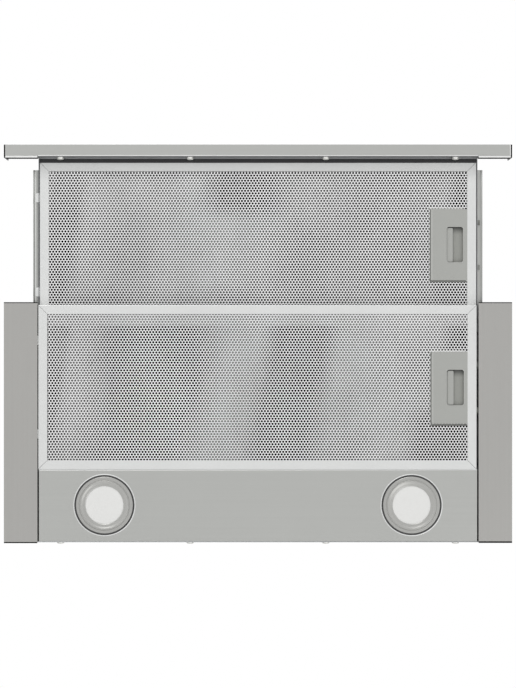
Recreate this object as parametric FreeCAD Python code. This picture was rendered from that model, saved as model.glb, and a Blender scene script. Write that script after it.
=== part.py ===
"""Slide-out cooker hood insert for a 60 cm wall cupboard, with its drawer pulled out.

All sizes are millimetres. X runs left to right, Y from the front trim back to the wall
and Z up. The origin is the middle of the bottom face of the whole hood at rest.
"""
import FreeCAD
import Part
import math
import os

Vector = FreeCAD.Vector

# Whole hood
WIDTH = 598.0
PULL_OUT = 169.5
CLOSED_GAP = 0.5
SHEET = 0.8
RUNNING_GAP = 0.3

# Front trim of the drawer
TRIM_DEPTH = 16.0
TRIM_HEIGHT = 44.0
TRIM_SKIN = 1.0
TRIM_UNDERSIDE = 12.9
TRIM_FLANGE_HEIGHT = 18.0
TRIM_TOP_FLANGE = 8.0
END_CAP_THICKNESS = 1.2
END_CAP_CORNER = 1.5
HEM_RISE = 2.6
HEM_CHAMFER = 3.4

# Grease filters, two alike
FILTER_DEPTH = 194.0
FILTER_HEIGHT = 9.0
FILTER_BAND = 11.0
FILTER_LIFT = 1.5
FILTER_SIDE_GAP = 0.5
FILTER_FRONT_GAP = 2.2
FILTER_REAR_GAP = 1.3
DRAWER_FILTER_GAP = 3.5
MESH_SHEET = 0.6
MESH_INSET = 0.4
PLEAT_PITCH = 20.0
PLEAT_THICKNESS = 0.4
PLEAT_GAP = 0.1
TAB_WIDTH = 10.6
TAB_REACH = 4.7
TAB_SPACING = 110.6
TAB_LEVEL = 0.8
TAB_THICKNESS = 1.0
TAB_SLOT_DROP = 0.7
TAB_SLOT_RISE = 1.2
SLOT_SIDE_GAP = 0.6

# Filter latches
LATCH_WIDTH = 42.5
LATCH_DEPTH = 84.7
LATCH_CORNER = 4.0
LATCH_WALL = 1.2
LATCH_FLOOR = 1.4
LATCH_INSET = 0.2
LATCH_RIM = 2.0
WINDOW_WIDTH = 20.2
WINDOW_DEPTH = 42.6
WINDOW_CORNER = 3.0
WINDOW_TO_RIGHT = 4.3
FINGER_TAB_WIDTH = 7.4
SLIDER_LEVEL = 4.4
SLIDER_THICKNESS = 1.2
SLIDER_DEPTH = 62.0
LATCH_TRAVEL = 6.0
PRONG_WIDTH = 6.0
PRONG_SPACING = 53.0
PRONG_REACH = 4.7
SPRING_WIDTH = 8.0
SPRING_THICKNESS = 0.5
SPRING_END_GAP = 4.0
LATCH_RIM_THICKNESS = 1.0
PRONG_ROOT = 3.0
FINGER_TAB_INSET = 1.0
FINGER_TAB_CORNER = 1.5

# Casing
SIDE_STRIP = 39.5
PANEL_GAP = 1.5
RETURN_HEIGHT = 9.0
RAIL_STACK = 10.2
SLAB_CLEARANCE = 1.4
UPSTAND = 30.0
PANEL_FLANGE = 8.0
DECK_RIM = 8.0
CROSSMEMBER_FLANGE = 12.0
BRACKET_STAND_OFF = 11.6
BRACKET_LENGTH = 60.0
BRACKET_HEIGHT = 18.0
BRACKET_HOLE_RADIUS = 2.5
BRACKET_HOLE_SPACING = 36.0
BRACKET_FROM_REAR = 150.0

# Drawer
DRAWER_CLEARANCE = 1.5
DRAWER_FILTER_LEVEL = 1.0
DRAWER_WALL_HEIGHT = 34.0
DRAWER_WALL_STEP = 3.5
DRAWER_STEP_LEVEL = 13.0
DRAWER_FRONT_BOTTOM = 2.5
REAR_BAR_HEIGHT = 11.5
REAR_BAR_DEPTH = 5.0
COVER_LIP = 4.0
DRAWER_SIDE_FLANGE = 10.0
DRAWER_FRONT_FLANGE = 8.0

# Ball-bearing slides
RAIL_HEIGHT = 27.0
RAIL_GAP = 1.0
RAIL_THICKNESS = 1.0
RAIL_HOOK = 2.2
OUTER_RAIL_WIDTH = 7.7
INNER_RAIL_WIDTH = 6.7
OUTER_RAIL_LENGTH = 250.0
INNER_RAIL_LENGTH = 240.2
INNER_RAIL_SETBACK = 16.6
BALL_SPACE = 4.0
BALL_RADIUS = 1.9
GROOVE_RADIUS = 2.2
CAGE_LENGTH = 70.0
CAGE_THICKNESS = 0.6
BALLS_PER_TRACK = 4
BALL_FIT = 0.05
BALL_RINGS = 4
TRACK_EDGE_GAP = 0.1
CAGE_EDGE_GAP = 0.4
CAGE_SETBACK = 5.0

# Lamp panel
PANEL_DEPTH = 84.5
PANEL_LIFT = 2.0
PANEL_LIP = 8.5
PANEL_REAR_FLANGE = 14.0
PANEL_SIDE_GAP = 1.5
LAMP_FROM_END = 118.2
LAMP_FROM_REAR = 43.7
LAMP_RADIUS = 34.4
LAMP_BODY_RADIUS = 28.6
LAMP_LENS_RADIUS = 24.0
LAMP_APERTURE = 22.5
LAMP_HOLE_GAP = 0.4
LAMP_FLANGE_DROP = 0.4
LAMP_BEAD_INSET = 0.3
LAMP_BEAD_DROP = 1.5
LAMP_SEAT_LEVEL = 0.8
LAMP_LIP_LEVEL = 0.2
LAMP_WALL_HEIGHT = 6.0
LENS_THICKNESS = 2.2
LENS_FIT = 0.2
HEAT_SINK_HEIGHT = 18.0
HEAT_SINK_FINS = 6
HEAT_SINK_WIDTH = 42.0
HEAT_SINK_BASE = 4.0
FIN_THICKNESS = 1.6
DRIVER_LENGTH = 120.0
DRIVER_DEPTH = 40.0
DRIVER_HEIGHT = 22.0
DRIVER_CORNER = 3.0
DRIVER_EAR = 10.0
DRIVER_EAR_THICKNESS = 2.5

# Fan housing above the deck
MOTOR_BOX_WIDTH = 340.0
MOTOR_BOX_REAR_SETBACK = 17.8
MOTOR_BOX_HEIGHT = 127.0
MOTOR_BOX_SETBACK = 19.2
FOOT_FLANGE = 10.0

# Fan
IMPELLER_RADIUS = 58.0
IMPELLER_WIDTH = 96.0
BLADE_COUNT = 24
BLADE_DEPTH = 10.0
BLADE_THICKNESS = 1.0
BLADE_RING_WIDTH = 3.0
HUB_RADIUS = 12.0
HUB_LENGTH = 20.0
WHEEL_DISC = 2.0
WHEEL_DISC_OVERLAP = 3.0
BLADE_LEAN = 4.5
BLADE_BULGE = 1.6
BLADE_ROOT_GAP = 0.6
BLADE_TIP_GAP = 0.4
BLADE_END_GAP = 0.5
SCROLL_GAP = 10.0
SCROLL_STEP = 8.0
SCROLL_WALL = 1.6
SCROLL_RIM = 3.0
SCROLL_RIM_WIDTH = 2.0
SCROLL_SIDE_GAP = 4.0
INLET_RADIUS = 46.0
INLET_LIP = 6.0
SCROLL_TOP_GAP = 0.6
TONGUE_OFFSET = 24.0
FAN_SETBACK = 90.0
MOTOR_RADIUS = 36.0
MOTOR_LENGTH = 70.0
MOTOR_HUB_GAP = 2.0
MOTOR_BOSS = 6.0
MOTOR_CHAMFER = 6.0
MOTOR_END_CHAMFER = 8.0
SHAFT_DEPTH = 60.0
SHAFT_END = 4.0
SHAFT_RADIUS = 4.0
SHAFT_FIT = 0.06
BRACKET_RING = 3.0
BRACKET_RING_WIDTH = 8.0
BRACKET_RING_OFFSET = 12.0
BRACKET_ARM = 12.0
BRACKET_ARM_THICKNESS = 2.0
BRACKET_ARM_GAP = 4.0
BRACKET_FOOT = 9.0
BRACKET_ARMS = 3
CAPACITOR_RADIUS = 15.0
CAPACITOR_LENGTH = 56.0
CAPACITOR_FROM_REAR = 31.0
CAPACITOR_STUD = 10.0

# Duct collar and its flaps
COLLAR_RADIUS = 59.5
COLLAR_WALL = 1.8
COLLAR_HEIGHT = 35.0
COLLAR_FLANGE = 6.5
COLLAR_FLANGE_THICKNESS = 2.0
LEDGE_HEIGHT = 8.0
LEDGE_WIDTH = 2.5
LEDGE_THICKNESS = 1.2
FLAP_THICKNESS = 1.5
FLAP_EDGE = 3.5
KNUCKLE_RADIUS = 3.0
KNUCKLE_LENGTH = 18.0
KNUCKLE_PITCH = 28.0
PIN_RADIUS = 1.5
PIN_FIT = 0.1
PIN_END_GAP = 0.1

# Connection box
TERMINAL_WIDTH = 60.0
TERMINAL_DEPTH = 90.0
TERMINAL_HEIGHT = 34.0
TERMINAL_WALL = 2.0
TERMINAL_LID = 3.0
TERMINAL_GAP = 8.0
TERMINAL_CORNER = 4.0
LID_PLUG = 3.0
GLAND_RADIUS = 8.0
GLAND_BORE_RADIUS = 4.0
GLAND_INNER_LENGTH = 5.0
GLAND_NUT_RADIUS = 11.0
GLAND_NUT_LENGTH = 6.0
GLAND_DOME_RADIUS = 10.0
GLAND_TIP_RADIUS = 6.5
GLAND_DOME_LENGTH = 12.0

# Push buttons
BUTTON_NAMES = ("light", "off", "low", "medium", "high")
BUTTON_WIDTH = 15.0
BUTTON_HEIGHT = 11.0
BUTTON_LENGTH = 6.0
BUTTON_PITCH = 19.0
BUTTON_GAP = 0.35
BUTTON_CORNER = 1.2
BUTTON_FLANGE = 0.8
BUTTON_FLANGE_LENGTH = 1.0
BUTTON_TRAVEL = 2.5
BUTTONS_FROM_END = 92.0
BUTTON_LEVEL = 29.0
BEZEL_WIDTH = 102.0
BEZEL_HEIGHT = 18.0
BEZEL_THICKNESS = 2.2
SWITCH_DEPTH = 9.0
SWITCH_MARGIN = 2.0

# Screws
REAR_HEAD = 2.4
HEAD_RADIUS = 4.0
HEAD_RIM_SHARE = 0.5
HEAD_CROWN_SHARE = 0.6
SCREW_SIDES = 12
BALL_SIDES = 8
TRIM_HEAD = 3.4
SHANK_RADIUS = 1.9
SCREW_HOLE_GAP = 0.2
SCREW_FROM_RETURN = 26.6
SCREW_SPREAD = 160.0
TRIM_SCREW_LEVEL = 8.0
REAR_SCREW_LEVEL = 9.0
SCREW_LENGTH = 8.0
CUT = 1.0

# Places that follow from the sizes
BODY_DEPTH = FILTER_FRONT_GAP + FILTER_DEPTH + FILTER_REAR_GAP + PANEL_DEPTH
Y_FRONT = -(TRIM_DEPTH + CLOSED_GAP + PULL_OUT + BODY_DEPTH + REAR_HEAD) / 2
Y_TRIM_BACK = Y_FRONT + TRIM_DEPTH
Y_BODY_FRONT = Y_TRIM_BACK + CLOSED_GAP + PULL_OUT
Y_BODY_REAR = Y_BODY_FRONT + BODY_DEPTH
X_RETURN = WIDTH / 2 - SIDE_STRIP
X_FILTER = X_RETURN - PANEL_GAP
X_DRAWER_INNER = X_FILTER + FILTER_SIDE_GAP
X_DRAWER_OUTER = X_DRAWER_INNER + SHEET
X_CASING_INNER = X_DRAWER_OUTER + RAIL_STACK
X_CASING = X_CASING_INNER + SHEET

Z_REAR_FILTER = FILTER_LIFT
Z_DRAWER = Z_REAR_FILTER + FILTER_HEIGHT + DRAWER_CLEARANCE
Z_FRONT_FILTER = Z_DRAWER + DRAWER_FILTER_LEVEL
Z_DRAWER_TOP = Z_DRAWER + DRAWER_WALL_HEIGHT
Z_RAIL = Z_FRONT_FILTER + SLIDER_LEVEL + SLIDER_THICKNESS + RAIL_GAP
Z_RAIL_MIDDLE = Z_RAIL + RAIL_HEIGHT / 2
Z_SLAB = Z_RAIL + RAIL_HEIGHT + SLAB_CLEARANCE
Z_DECK = Z_SLAB + UPSTAND
Z_BOX_TOP = Z_DECK + MOTOR_BOX_HEIGHT

Y_REAR_FILTER = Y_BODY_FRONT + FILTER_FRONT_GAP
Y_PANEL_FRONT = Y_REAR_FILTER + FILTER_DEPTH + FILTER_REAR_GAP
Y_DRAWER_FLANGE = Y_FRONT + TRIM_UNDERSIDE + SHEET / 2
Y_DRAWER_WALL = Y_DRAWER_FLANGE + DRAWER_WALL_STEP
Y_FRONT_FILTER = Y_DRAWER_WALL + SHEET + DRAWER_FILTER_GAP
Y_REAR_BAR = Y_FRONT_FILTER + FILTER_DEPTH + FILTER_SIDE_GAP
Y_DRAWER_REAR = Y_REAR_BAR + REAR_BAR_DEPTH

Y_BOX_FRONT = Y_BODY_FRONT + MOTOR_BOX_SETBACK
Y_BOX_REAR = Y_BODY_REAR - MOTOR_BOX_REAR_SETBACK
X_BOX = MOTOR_BOX_WIDTH / 2
Y_FAN = Y_BOX_FRONT + FAN_SETBACK
SCROLL_RADIUS = IMPELLER_RADIUS + SCROLL_GAP
OUTLET_RISE = SCROLL_RADIUS - SCROLL_STEP / 2 + SCROLL_WALL + SCROLL_RIM + SCROLL_TOP_GAP
Z_FAN = Z_BOX_TOP - SHEET - OUTLET_RISE
X_SCROLL_INNER = IMPELLER_WIDTH / 2 + SCROLL_SIDE_GAP
X_SCROLL = X_SCROLL_INNER + SCROLL_WALL
OUTLET_FAR = SCROLL_STEP / 2 + SCROLL_RADIUS + 2 * SCROLL_STEP
Y_COLLAR = Y_FAN + (TONGUE_OFFSET + OUTLET_FAR) / 2
COLLAR_INNER = COLLAR_RADIUS - COLLAR_WALL
Z_LEDGE = Z_BOX_TOP + LEDGE_HEIGHT
Z_FLAP = Z_LEDGE + LEDGE_THICKNESS + RUNNING_GAP
Z_PIN = Z_FLAP + FLAP_THICKNESS
X_BUTTONS = WIDTH / 2 - BUTTONS_FROM_END
X_LAMP = WIDTH / 2 - LAMP_FROM_END
X_OUTER_SCREW = X_RETURN - SCREW_FROM_RETURN
SCREW_X = (-X_OUTER_SCREW, -SCREW_SPREAD / 2, SCREW_SPREAD / 2, X_OUTER_SCREW)
SCREW_HOLE = SHANK_RADIUS + SCREW_HOLE_GAP
Y_LAMPS = Y_BODY_REAR - LAMP_FROM_REAR


def offset_path(points, distance):
    """Return the points shifted to the left of the path, mitred at its corners."""
    shifted = []
    for index, point in enumerate(points):
        normals = []
        for start, end in zip(points[max(index - 1, 0):index + 1], points[max(index, 1):index + 2]):
            length = math.hypot(end[0] - start[0], end[1] - start[1])
            normals.append(((start[1] - end[1]) / length, (end[0] - start[0]) / length))
        first, last = normals[0], normals[-1]
        scale = distance / (1 + first[0] * last[0] + first[1] * last[1])
        shifted.append((point[0] + scale * (first[0] + last[0]), point[1] + scale * (first[1] + last[1])))
    return shifted


def folded(points, thickness=SHEET):
    """Return the outline of a sheet bent along the path, its thickness on the left."""
    return points + offset_path(points, thickness)[::-1]


def place(axis, along, across, up):
    """Return the point that lies at a distance along an axis, with the other two in order."""
    if axis == "X":
        return Vector(along, across, up)
    if axis == "Y":
        return Vector(across, along, up)
    return Vector(across, up, along)


def extruded(outline, axis, start, end):
    """Return the solid between two distances along an axis, with the outline as section."""
    corners = [place(axis, start, across, up) for across, up in outline]
    face = Part.Face(Part.makePolygon(corners + corners[:1]))
    return face.extrude(place(axis, end - start, 0, 0))


def block(x, y, z, corner=0.0):
    """Return a block between pairs of coordinates, with its upright corners rounded."""
    solid = Part.makeBox(x[1] - x[0], y[1] - y[0], z[1] - z[0], Vector(x[0], y[0], z[0]))
    if corner:
        upright = [edge for edge in solid.Edges if abs(edge.tangentAt(edge.FirstParameter).z) > 0.9]
        solid = solid.makeFillet(corner, upright)
    return solid


def spaced(centre, spacing):
    """Return the two places that lie evenly about a centre."""
    return [centre - spacing / 2, centre + spacing / 2]


def rod(axis, start, end, radius, across, up):
    """Return a cylinder between two distances along an axis."""
    return Part.makeCylinder(radius, end - start, place(axis, start, across, up), place(axis, 1, 0, 0))


def mirrored(shape):
    """Return the left-hand twin of a right-hand shape."""
    return shape.mirror(Vector(0, 0, 0), Vector(1, 0, 0))


def turned(profile, centre, direction=Vector(0, 0, 1)):
    """Return the solid of revolution of (radius, height) points about an axis through a centre."""
    corners = [Vector(radius, 0, height) for radius, height in profile]
    solid = Part.Face(Part.makePolygon(corners + corners[:1])).revolve(Vector(0, 0, 0), Vector(0, 0, 1), 360)
    solid.Placement = FreeCAD.Placement(centre, FreeCAD.Rotation(Vector(0, 0, 1), direction))
    return solid


def union(shapes):
    """Return the pieces joined into one solid."""
    return shapes[0].multiFuse(shapes[1:]).removeSplitter()


def faceted(profile, sides, centre):
    """Return a small round piece with flat sides along Y, from its (radius, distance) points."""
    rings = []
    for radius, height in profile:
        turns = [2 * math.pi * (number + 0.5) / sides for number in range(sides)]
        rings.append([Vector(radius * math.cos(turn), height, radius * math.sin(turn)) for turn in turns])
    loops = [rings[0], rings[-1]]
    for lower, upper in zip(rings, rings[1:]):
        for number in range(sides):
            after = (number + 1) % sides
            loops.append([lower[number], lower[after], upper[after], upper[number]])
    shell = Part.makeShell([Part.Face(Part.makePolygon(loop + loop[:1])) for loop in loops])
    shell.sewShape()
    solid = Part.makeSolid(shell)
    if solid.Volume < 0:
        solid.reverse()
    solid.translate(centre)
    return solid


def pan_screw(seat, head_height):
    """Return a pan-head screw whose domed head stands towards +Y from its seat."""
    profile = [(SHANK_RADIUS, -SCREW_LENGTH), (SHANK_RADIUS, 0), (HEAD_RADIUS, 0)]
    profile += [(HEAD_RADIUS, head_height * HEAD_RIM_SHARE), (HEAD_RADIUS * HEAD_CROWN_SHARE, head_height)]
    return faceted(profile, SCREW_SIDES, seat)


def screw_hole(x, y, z):
    """Return the cutter of a screw hole through the sheets that lie at one Y."""
    return faceted([(SCREW_HOLE, -2 * TRIM_SKIN), (SCREW_HOLE, 2 * TRIM_SKIN)], SCREW_SIDES, Vector(x, y, z))


def save(name, *solids):
    """Write one node; several solids stay separate bodies inside it."""
    shape = solids[0] if len(solids) == 1 else Part.makeCompound(list(solids))
    shape.exportStep("parts/" + name + ".step")


# ---------------------------------------------------------------- casing


def slots_in_flange(x, centre, spacing, width, z_bottom, z_top):
    """Return the two cutters for the slots that filter tabs or latch prongs enter."""
    cutters = []
    half = width / 2 + SLOT_SIDE_GAP
    for y in spaced(centre, spacing):
        cutters.append(block(x, (y - half, y + half), (z_bottom, z_top)))
    return Part.makeCompound(cutters)


def tab_slots(x, y_filter, z_filter):
    """Return the cutters for the slots of a filter's two hinge tabs."""
    z_low = z_filter + TAB_LEVEL - TAB_SLOT_DROP
    z_high = z_filter + TAB_LEVEL + TAB_THICKNESS + TAB_SLOT_RISE
    return slots_in_flange(x, y_filter + FILTER_DEPTH / 2, TAB_SPACING, TAB_WIDTH, z_low, z_high)


def prong_slots(x, y_filter, z_filter):
    """Return the cutters for the slots of a filter's two latch prongs."""
    z_low = z_filter + SLIDER_LEVEL - RUNNING_GAP
    z_high = z_filter + SLIDER_LEVEL + SLIDER_THICKNESS + RUNNING_GAP
    return slots_in_flange(x, y_filter + FILTER_DEPTH / 2, PRONG_SPACING, PRONG_WIDTH, z_low, z_high)


def side_cover():
    """Return the right-hand cover: bottom strip, outer wall, top flange and closed ends."""
    path = [
        (X_RETURN, RETURN_HEIGHT),
        (X_RETURN, 0),
        (WIDTH / 2, 0),
        (WIDTH / 2, Z_SLAB),
        (X_CASING, Z_SLAB),
    ]
    channel = extruded(folded(path), "Y", Y_BODY_FRONT, Y_BODY_REAR)
    ends = []
    for y in (Y_BODY_FRONT, Y_BODY_REAR - SHEET):
        ends.append(block((X_CASING, WIDTH / 2 - SHEET / 2), (y, y + SHEET), (SHEET / 2, Z_SLAB - SHEET / 2)))
    y_notch = (Y_BODY_REAR - SHEET, Y_BODY_REAR + SHEET)
    notch = block((X_RETURN - SHEET, X_CASING), y_notch, (SHEET, RETURN_HEIGHT + SHEET))
    return union([channel] + ends).cut(notch)


def side_panel():
    """Return the right-hand casing side with its two inward flanges."""
    inner = X_CASING - PANEL_FLANGE
    path = [(inner, SHEET), (X_CASING, SHEET), (X_CASING, Z_DECK - SHEET), (inner, Z_DECK - SHEET)]
    return extruded(folded(path), "Y", Y_BODY_FRONT + SHEET, Y_BODY_REAR - SHEET)


def cabinet_bracket():
    """Return the right-hand top-hat bracket that takes the screws into the cupboard side."""
    y_middle = Y_BODY_REAR - BRACKET_FROM_REAR
    z_middle = (Z_SLAB + Z_DECK) / 2
    x_pad = X_CASING + BRACKET_STAND_OFF
    half = BRACKET_LENGTH / 2
    inner_half = half - PANEL_FLANGE
    path = [
        (X_CASING + SHEET, y_middle + half),
        (X_CASING + SHEET, y_middle + inner_half),
        (x_pad, y_middle + inner_half),
        (x_pad, y_middle - inner_half),
        (X_CASING + SHEET, y_middle - inner_half),
        (X_CASING + SHEET, y_middle - half),
    ]
    solid = extruded(folded(path[::-1]), "Z", *spaced(z_middle, BRACKET_HEIGHT))
    for y in spaced(y_middle, BRACKET_HOLE_SPACING):
        solid = solid.cut(rod("X", *spaced(x_pad, 4 * SHEET), BRACKET_HOLE_RADIUS, y, z_middle))
    return solid


def make_casing():
    """Write the folded sheets that carry everything else."""
    cover = side_cover()
    flange = (X_RETURN - SHEET, X_RETURN + 2 * SHEET)
    right = cover.cut(prong_slots(flange, Y_REAR_FILTER, Z_REAR_FILTER))
    left_flange = (-flange[1], -flange[0])
    left = mirrored(cover).cut(tab_slots(left_flange, Y_REAR_FILTER, Z_REAR_FILTER))
    save("side_cover_right", right)
    save("side_cover_left", left)
    panel = side_panel()
    save("side_panel_right", panel)
    save("side_panel_left", mirrored(panel))
    bracket = cabinet_bracket()
    save("cabinet_brackets", bracket, mirrored(bracket))

    back = block((-X_CASING, X_CASING), (Y_BODY_REAR - SHEET, Y_BODY_REAR), (SHEET, Z_DECK - SHEET))
    for x in SCREW_X:
        back = back.cut(screw_hole(x, Y_BODY_REAR, REAR_SCREW_LEVEL))
    save("back_panel", back)

    path = [
        (Y_BODY_FRONT + CROSSMEMBER_FLANGE, Z_SLAB),
        (Y_BODY_FRONT, Z_SLAB),
        (Y_BODY_FRONT, Z_DECK - SHEET),
    ]
    member = extruded(folded(path[::-1]), "X", -X_CASING_INNER, X_CASING_INNER)
    save("front_crossmember", member)

    deck = block((-X_CASING, X_CASING), (Y_BODY_FRONT, Y_BODY_REAR), (Z_DECK - SHEET, Z_DECK))
    opening = block(
        (-X_BOX + DECK_RIM, X_BOX - DECK_RIM),
        (Y_BOX_FRONT + DECK_RIM, Y_BOX_REAR - DECK_RIM),
        (Z_DECK - 2 * SHEET, Z_DECK + SHEET),
        DECK_RIM,
    )
    save("top_deck", deck.cut(opening))


# ---------------------------------------------------------------- lamp panel


def make_lamp_panel():
    """Write the lamp panel with its lamps, the driver and the screws behind it."""
    x_panel = X_RETURN - PANEL_SIDE_GAP
    y_back = Y_BODY_REAR - SHEET
    path = [
        (Y_PANEL_FRONT, PANEL_LIFT + PANEL_LIP),
        (Y_PANEL_FRONT, PANEL_LIFT),
        (y_back, PANEL_LIFT),
        (y_back, PANEL_LIFT + PANEL_REAR_FLANGE),
    ]
    panel = extruded(folded(path), "X", -x_panel, x_panel)
    for x in spaced(0, 2 * X_LAMP):
        hole = LAMP_BODY_RADIUS + LAMP_HOLE_GAP
        panel = panel.cut(rod("Z", PANEL_LIFT - CUT, PANEL_LIFT + 2 * SHEET, hole, x, Y_LAMPS))
    for x in SCREW_X:
        panel = panel.cut(screw_hole(x, y_back, REAR_SCREW_LEVEL))
    save("lamp_panel", panel)
    save("rear_screws", *[pan_screw(Vector(x, Y_BODY_REAR, REAR_SCREW_LEVEL), REAR_HEAD) for x in SCREW_X])

    wall_top = PANEL_LIFT + LAMP_WALL_HEIGHT
    lens_bottom = PANEL_LIFT + LAMP_SEAT_LEVEL
    profile = lamp_profile(wall_top, lens_bottom)
    bezels = []
    lenses = []
    sinks = []
    for x in spaced(0, 2 * X_LAMP):
        bezels.append(turned(profile, Vector(x, Y_LAMPS, 0)))
        lenses.append(rod("Z", lens_bottom, lens_bottom + LENS_THICKNESS, LAMP_LENS_RADIUS, x, Y_LAMPS))
        sinks.append(heat_sink(x, wall_top))
    save("lamp_bezels", *bezels)
    save("lamp_lenses", *lenses)
    save("lamp_heat_sinks", *sinks)

    save("led_driver", lamp_driver())


def lamp_profile(wall_top, lens_bottom):
    """Return the section of a lamp bezel: flange on the panel, bead, lens seat and wall."""
    return [
        (LAMP_RADIUS, PANEL_LIFT),
        (LAMP_RADIUS, PANEL_LIFT - LAMP_FLANGE_DROP),
        (LAMP_BODY_RADIUS - LAMP_BEAD_INSET, PANEL_LIFT - LAMP_BEAD_DROP),
        (LAMP_APERTURE, PANEL_LIFT - LAMP_LIP_LEVEL),
        (LAMP_APERTURE, lens_bottom),
        (LAMP_LENS_RADIUS + LENS_FIT, lens_bottom),
        (LAMP_LENS_RADIUS + LENS_FIT, wall_top),
        (LAMP_BODY_RADIUS, wall_top),
        (LAMP_BODY_RADIUS, PANEL_LIFT),
    ]


def lamp_driver():
    """Return the lamps' power supply, a moulded box with a mounting ear at each end."""
    z = PANEL_LIFT + SHEET
    x = (-DRIVER_LENGTH / 2, DRIVER_LENGTH / 2)
    y = spaced(Y_LAMPS, DRIVER_DEPTH)
    body = block(x, y, (z, z + DRIVER_HEIGHT), DRIVER_CORNER)
    ear_y = spaced(Y_LAMPS, DRIVER_DEPTH / 2)
    ears = block(grown(x, DRIVER_EAR), ear_y, (z, z + DRIVER_EAR_THICKNESS))
    return union([body, ears])


def heat_sink(x, z):
    """Return a lamp's aluminium heat sink, a square base with upright fins."""
    x_base = spaced(x, HEAT_SINK_WIDTH)
    y_base = spaced(Y_LAMPS, HEAT_SINK_WIDTH)
    pieces = [block(x_base, y_base, (z, z + HEAT_SINK_BASE))]
    pitch = (HEAT_SINK_WIDTH - FIN_THICKNESS) / (HEAT_SINK_FINS - 1)
    for number in range(HEAT_SINK_FINS):
        x_fin = x_base[0] + number * pitch
        z_fin = (z + HEAT_SINK_BASE / 2, z + HEAT_SINK_HEIGHT)
        pieces.append(block((x_fin, x_fin + FIN_THICKNESS), y_base, z_fin))
    return union(pieces)


# ---------------------------------------------------------------- filters


def filter_frame(y_front, z_bottom):
    """Return the channel-section frame of a filter, with its two hinge tabs."""
    depth = y_front + FILTER_DEPTH
    outer = block((-X_FILTER, X_FILTER), (y_front, depth), (z_bottom, z_bottom + FILTER_HEIGHT))
    skin = SHEET
    cavity = block(
        (-X_FILTER + skin, X_FILTER - skin),
        (y_front + skin, depth - skin),
        (z_bottom + skin, z_bottom + FILTER_HEIGHT - skin),
    )
    light = block(
        (-X_FILTER + FILTER_BAND, X_FILTER - FILTER_BAND),
        (y_front + FILTER_BAND, depth - FILTER_BAND),
        (z_bottom - CUT, z_bottom + FILTER_HEIGHT + CUT),
    )
    frame = outer.cut(cavity).cut(light)
    tabs = []
    z_tab = z_bottom + TAB_LEVEL
    for y in spaced(y_front + FILTER_DEPTH / 2, TAB_SPACING):
        x_span = (-X_FILTER - TAB_REACH, -X_FILTER + skin / 2)
        tabs.append(block(x_span, (y - TAB_WIDTH / 2, y + TAB_WIDTH / 2), (z_tab, z_tab + TAB_THICKNESS)))
    frame = union([frame] + tabs)
    x_wall = (X_FILTER - 2 * skin, X_FILTER + skin)
    return frame.cut(prong_slots(x_wall, y_front, z_bottom))


def latch_bounds(y_front):
    """Return the x and y pairs of a latch housing's outline."""
    x_right = X_FILTER - FILTER_BAND - RUNNING_GAP
    y_middle = y_front + FILTER_DEPTH / 2
    return (x_right - LATCH_WIDTH, x_right), (y_middle - LATCH_DEPTH / 2, y_middle + LATCH_DEPTH / 2)


def window_bounds(y_front):
    """Return the x and y pairs of the finger window in a latch housing."""
    x_right = X_FILTER - FILTER_BAND - RUNNING_GAP - WINDOW_TO_RIGHT
    y_middle = y_front + FILTER_DEPTH / 2
    return (x_right - WINDOW_WIDTH, x_right), (y_middle - WINDOW_DEPTH / 2, y_middle + WINDOW_DEPTH / 2)


def grown(pair, margin):
    """Return a pair of coordinates with a margin added at both ends."""
    return (pair[0] - margin, pair[1] + margin)


def mesh_outline(y_front):
    """Return the x and y pairs of the mesh layers, which reach into the frame's channel."""
    reach = SHEET + MESH_INSET
    return (-X_FILTER + reach, X_FILTER - reach), (y_front + reach, y_front + FILTER_DEPTH - reach)


def lower_mesh(y_front, z_bottom):
    """Return the lower perforated sheet, cut out round the latch housing."""
    x, y = mesh_outline(y_front)
    z = z_bottom + SHEET
    sheet = block(x, y, (z, z + MESH_SHEET))
    latch_x, latch_y = latch_bounds(y_front)
    cutout = block(
        (latch_x[0] - RUNNING_GAP, X_FILTER + CUT),
        grown(latch_y, RUNNING_GAP),
        (z - CUT, z + MESH_SHEET + CUT),
    )
    return sheet.cut(cutout)


def mesh_pack(y_front, z_bottom):
    """Return the pleated middle layer and the upper sheet above it."""
    x, y = mesh_outline(y_front)
    z_low = z_bottom + SHEET + MESH_SHEET + PLEAT_GAP
    z_high = z_bottom + FILTER_HEIGHT - SHEET - MESH_SHEET
    count = int((x[1] - x[0]) / PLEAT_PITCH)
    start = (x[0] + x[1] - count * PLEAT_PITCH) / 2
    ridge = z_high - z_low - PLEAT_THICKNESS - PLEAT_GAP
    path = []
    for number in range(2 * count + 1):
        path.append((start + number * PLEAT_PITCH / 2, z_low + (ridge if number % 2 else 0)))
    raised = [(across, up + PLEAT_THICKNESS) for across, up in path[::-1]]
    pleats = extruded(path + raised, "Y", y[0], y[1])
    latch_x, latch_y = latch_bounds(y_front)
    room = LATCH_RIM + 2 * RUNNING_GAP
    z_cut = (z_low - CUT, z_high - RUNNING_GAP / 2)
    cutout = block((latch_x[0] - room, X_FILTER + CUT), grown(latch_y, room), z_cut)
    return pleats.cut(cutout), block(x, y, (z_high, z_high + MESH_SHEET))


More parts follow.
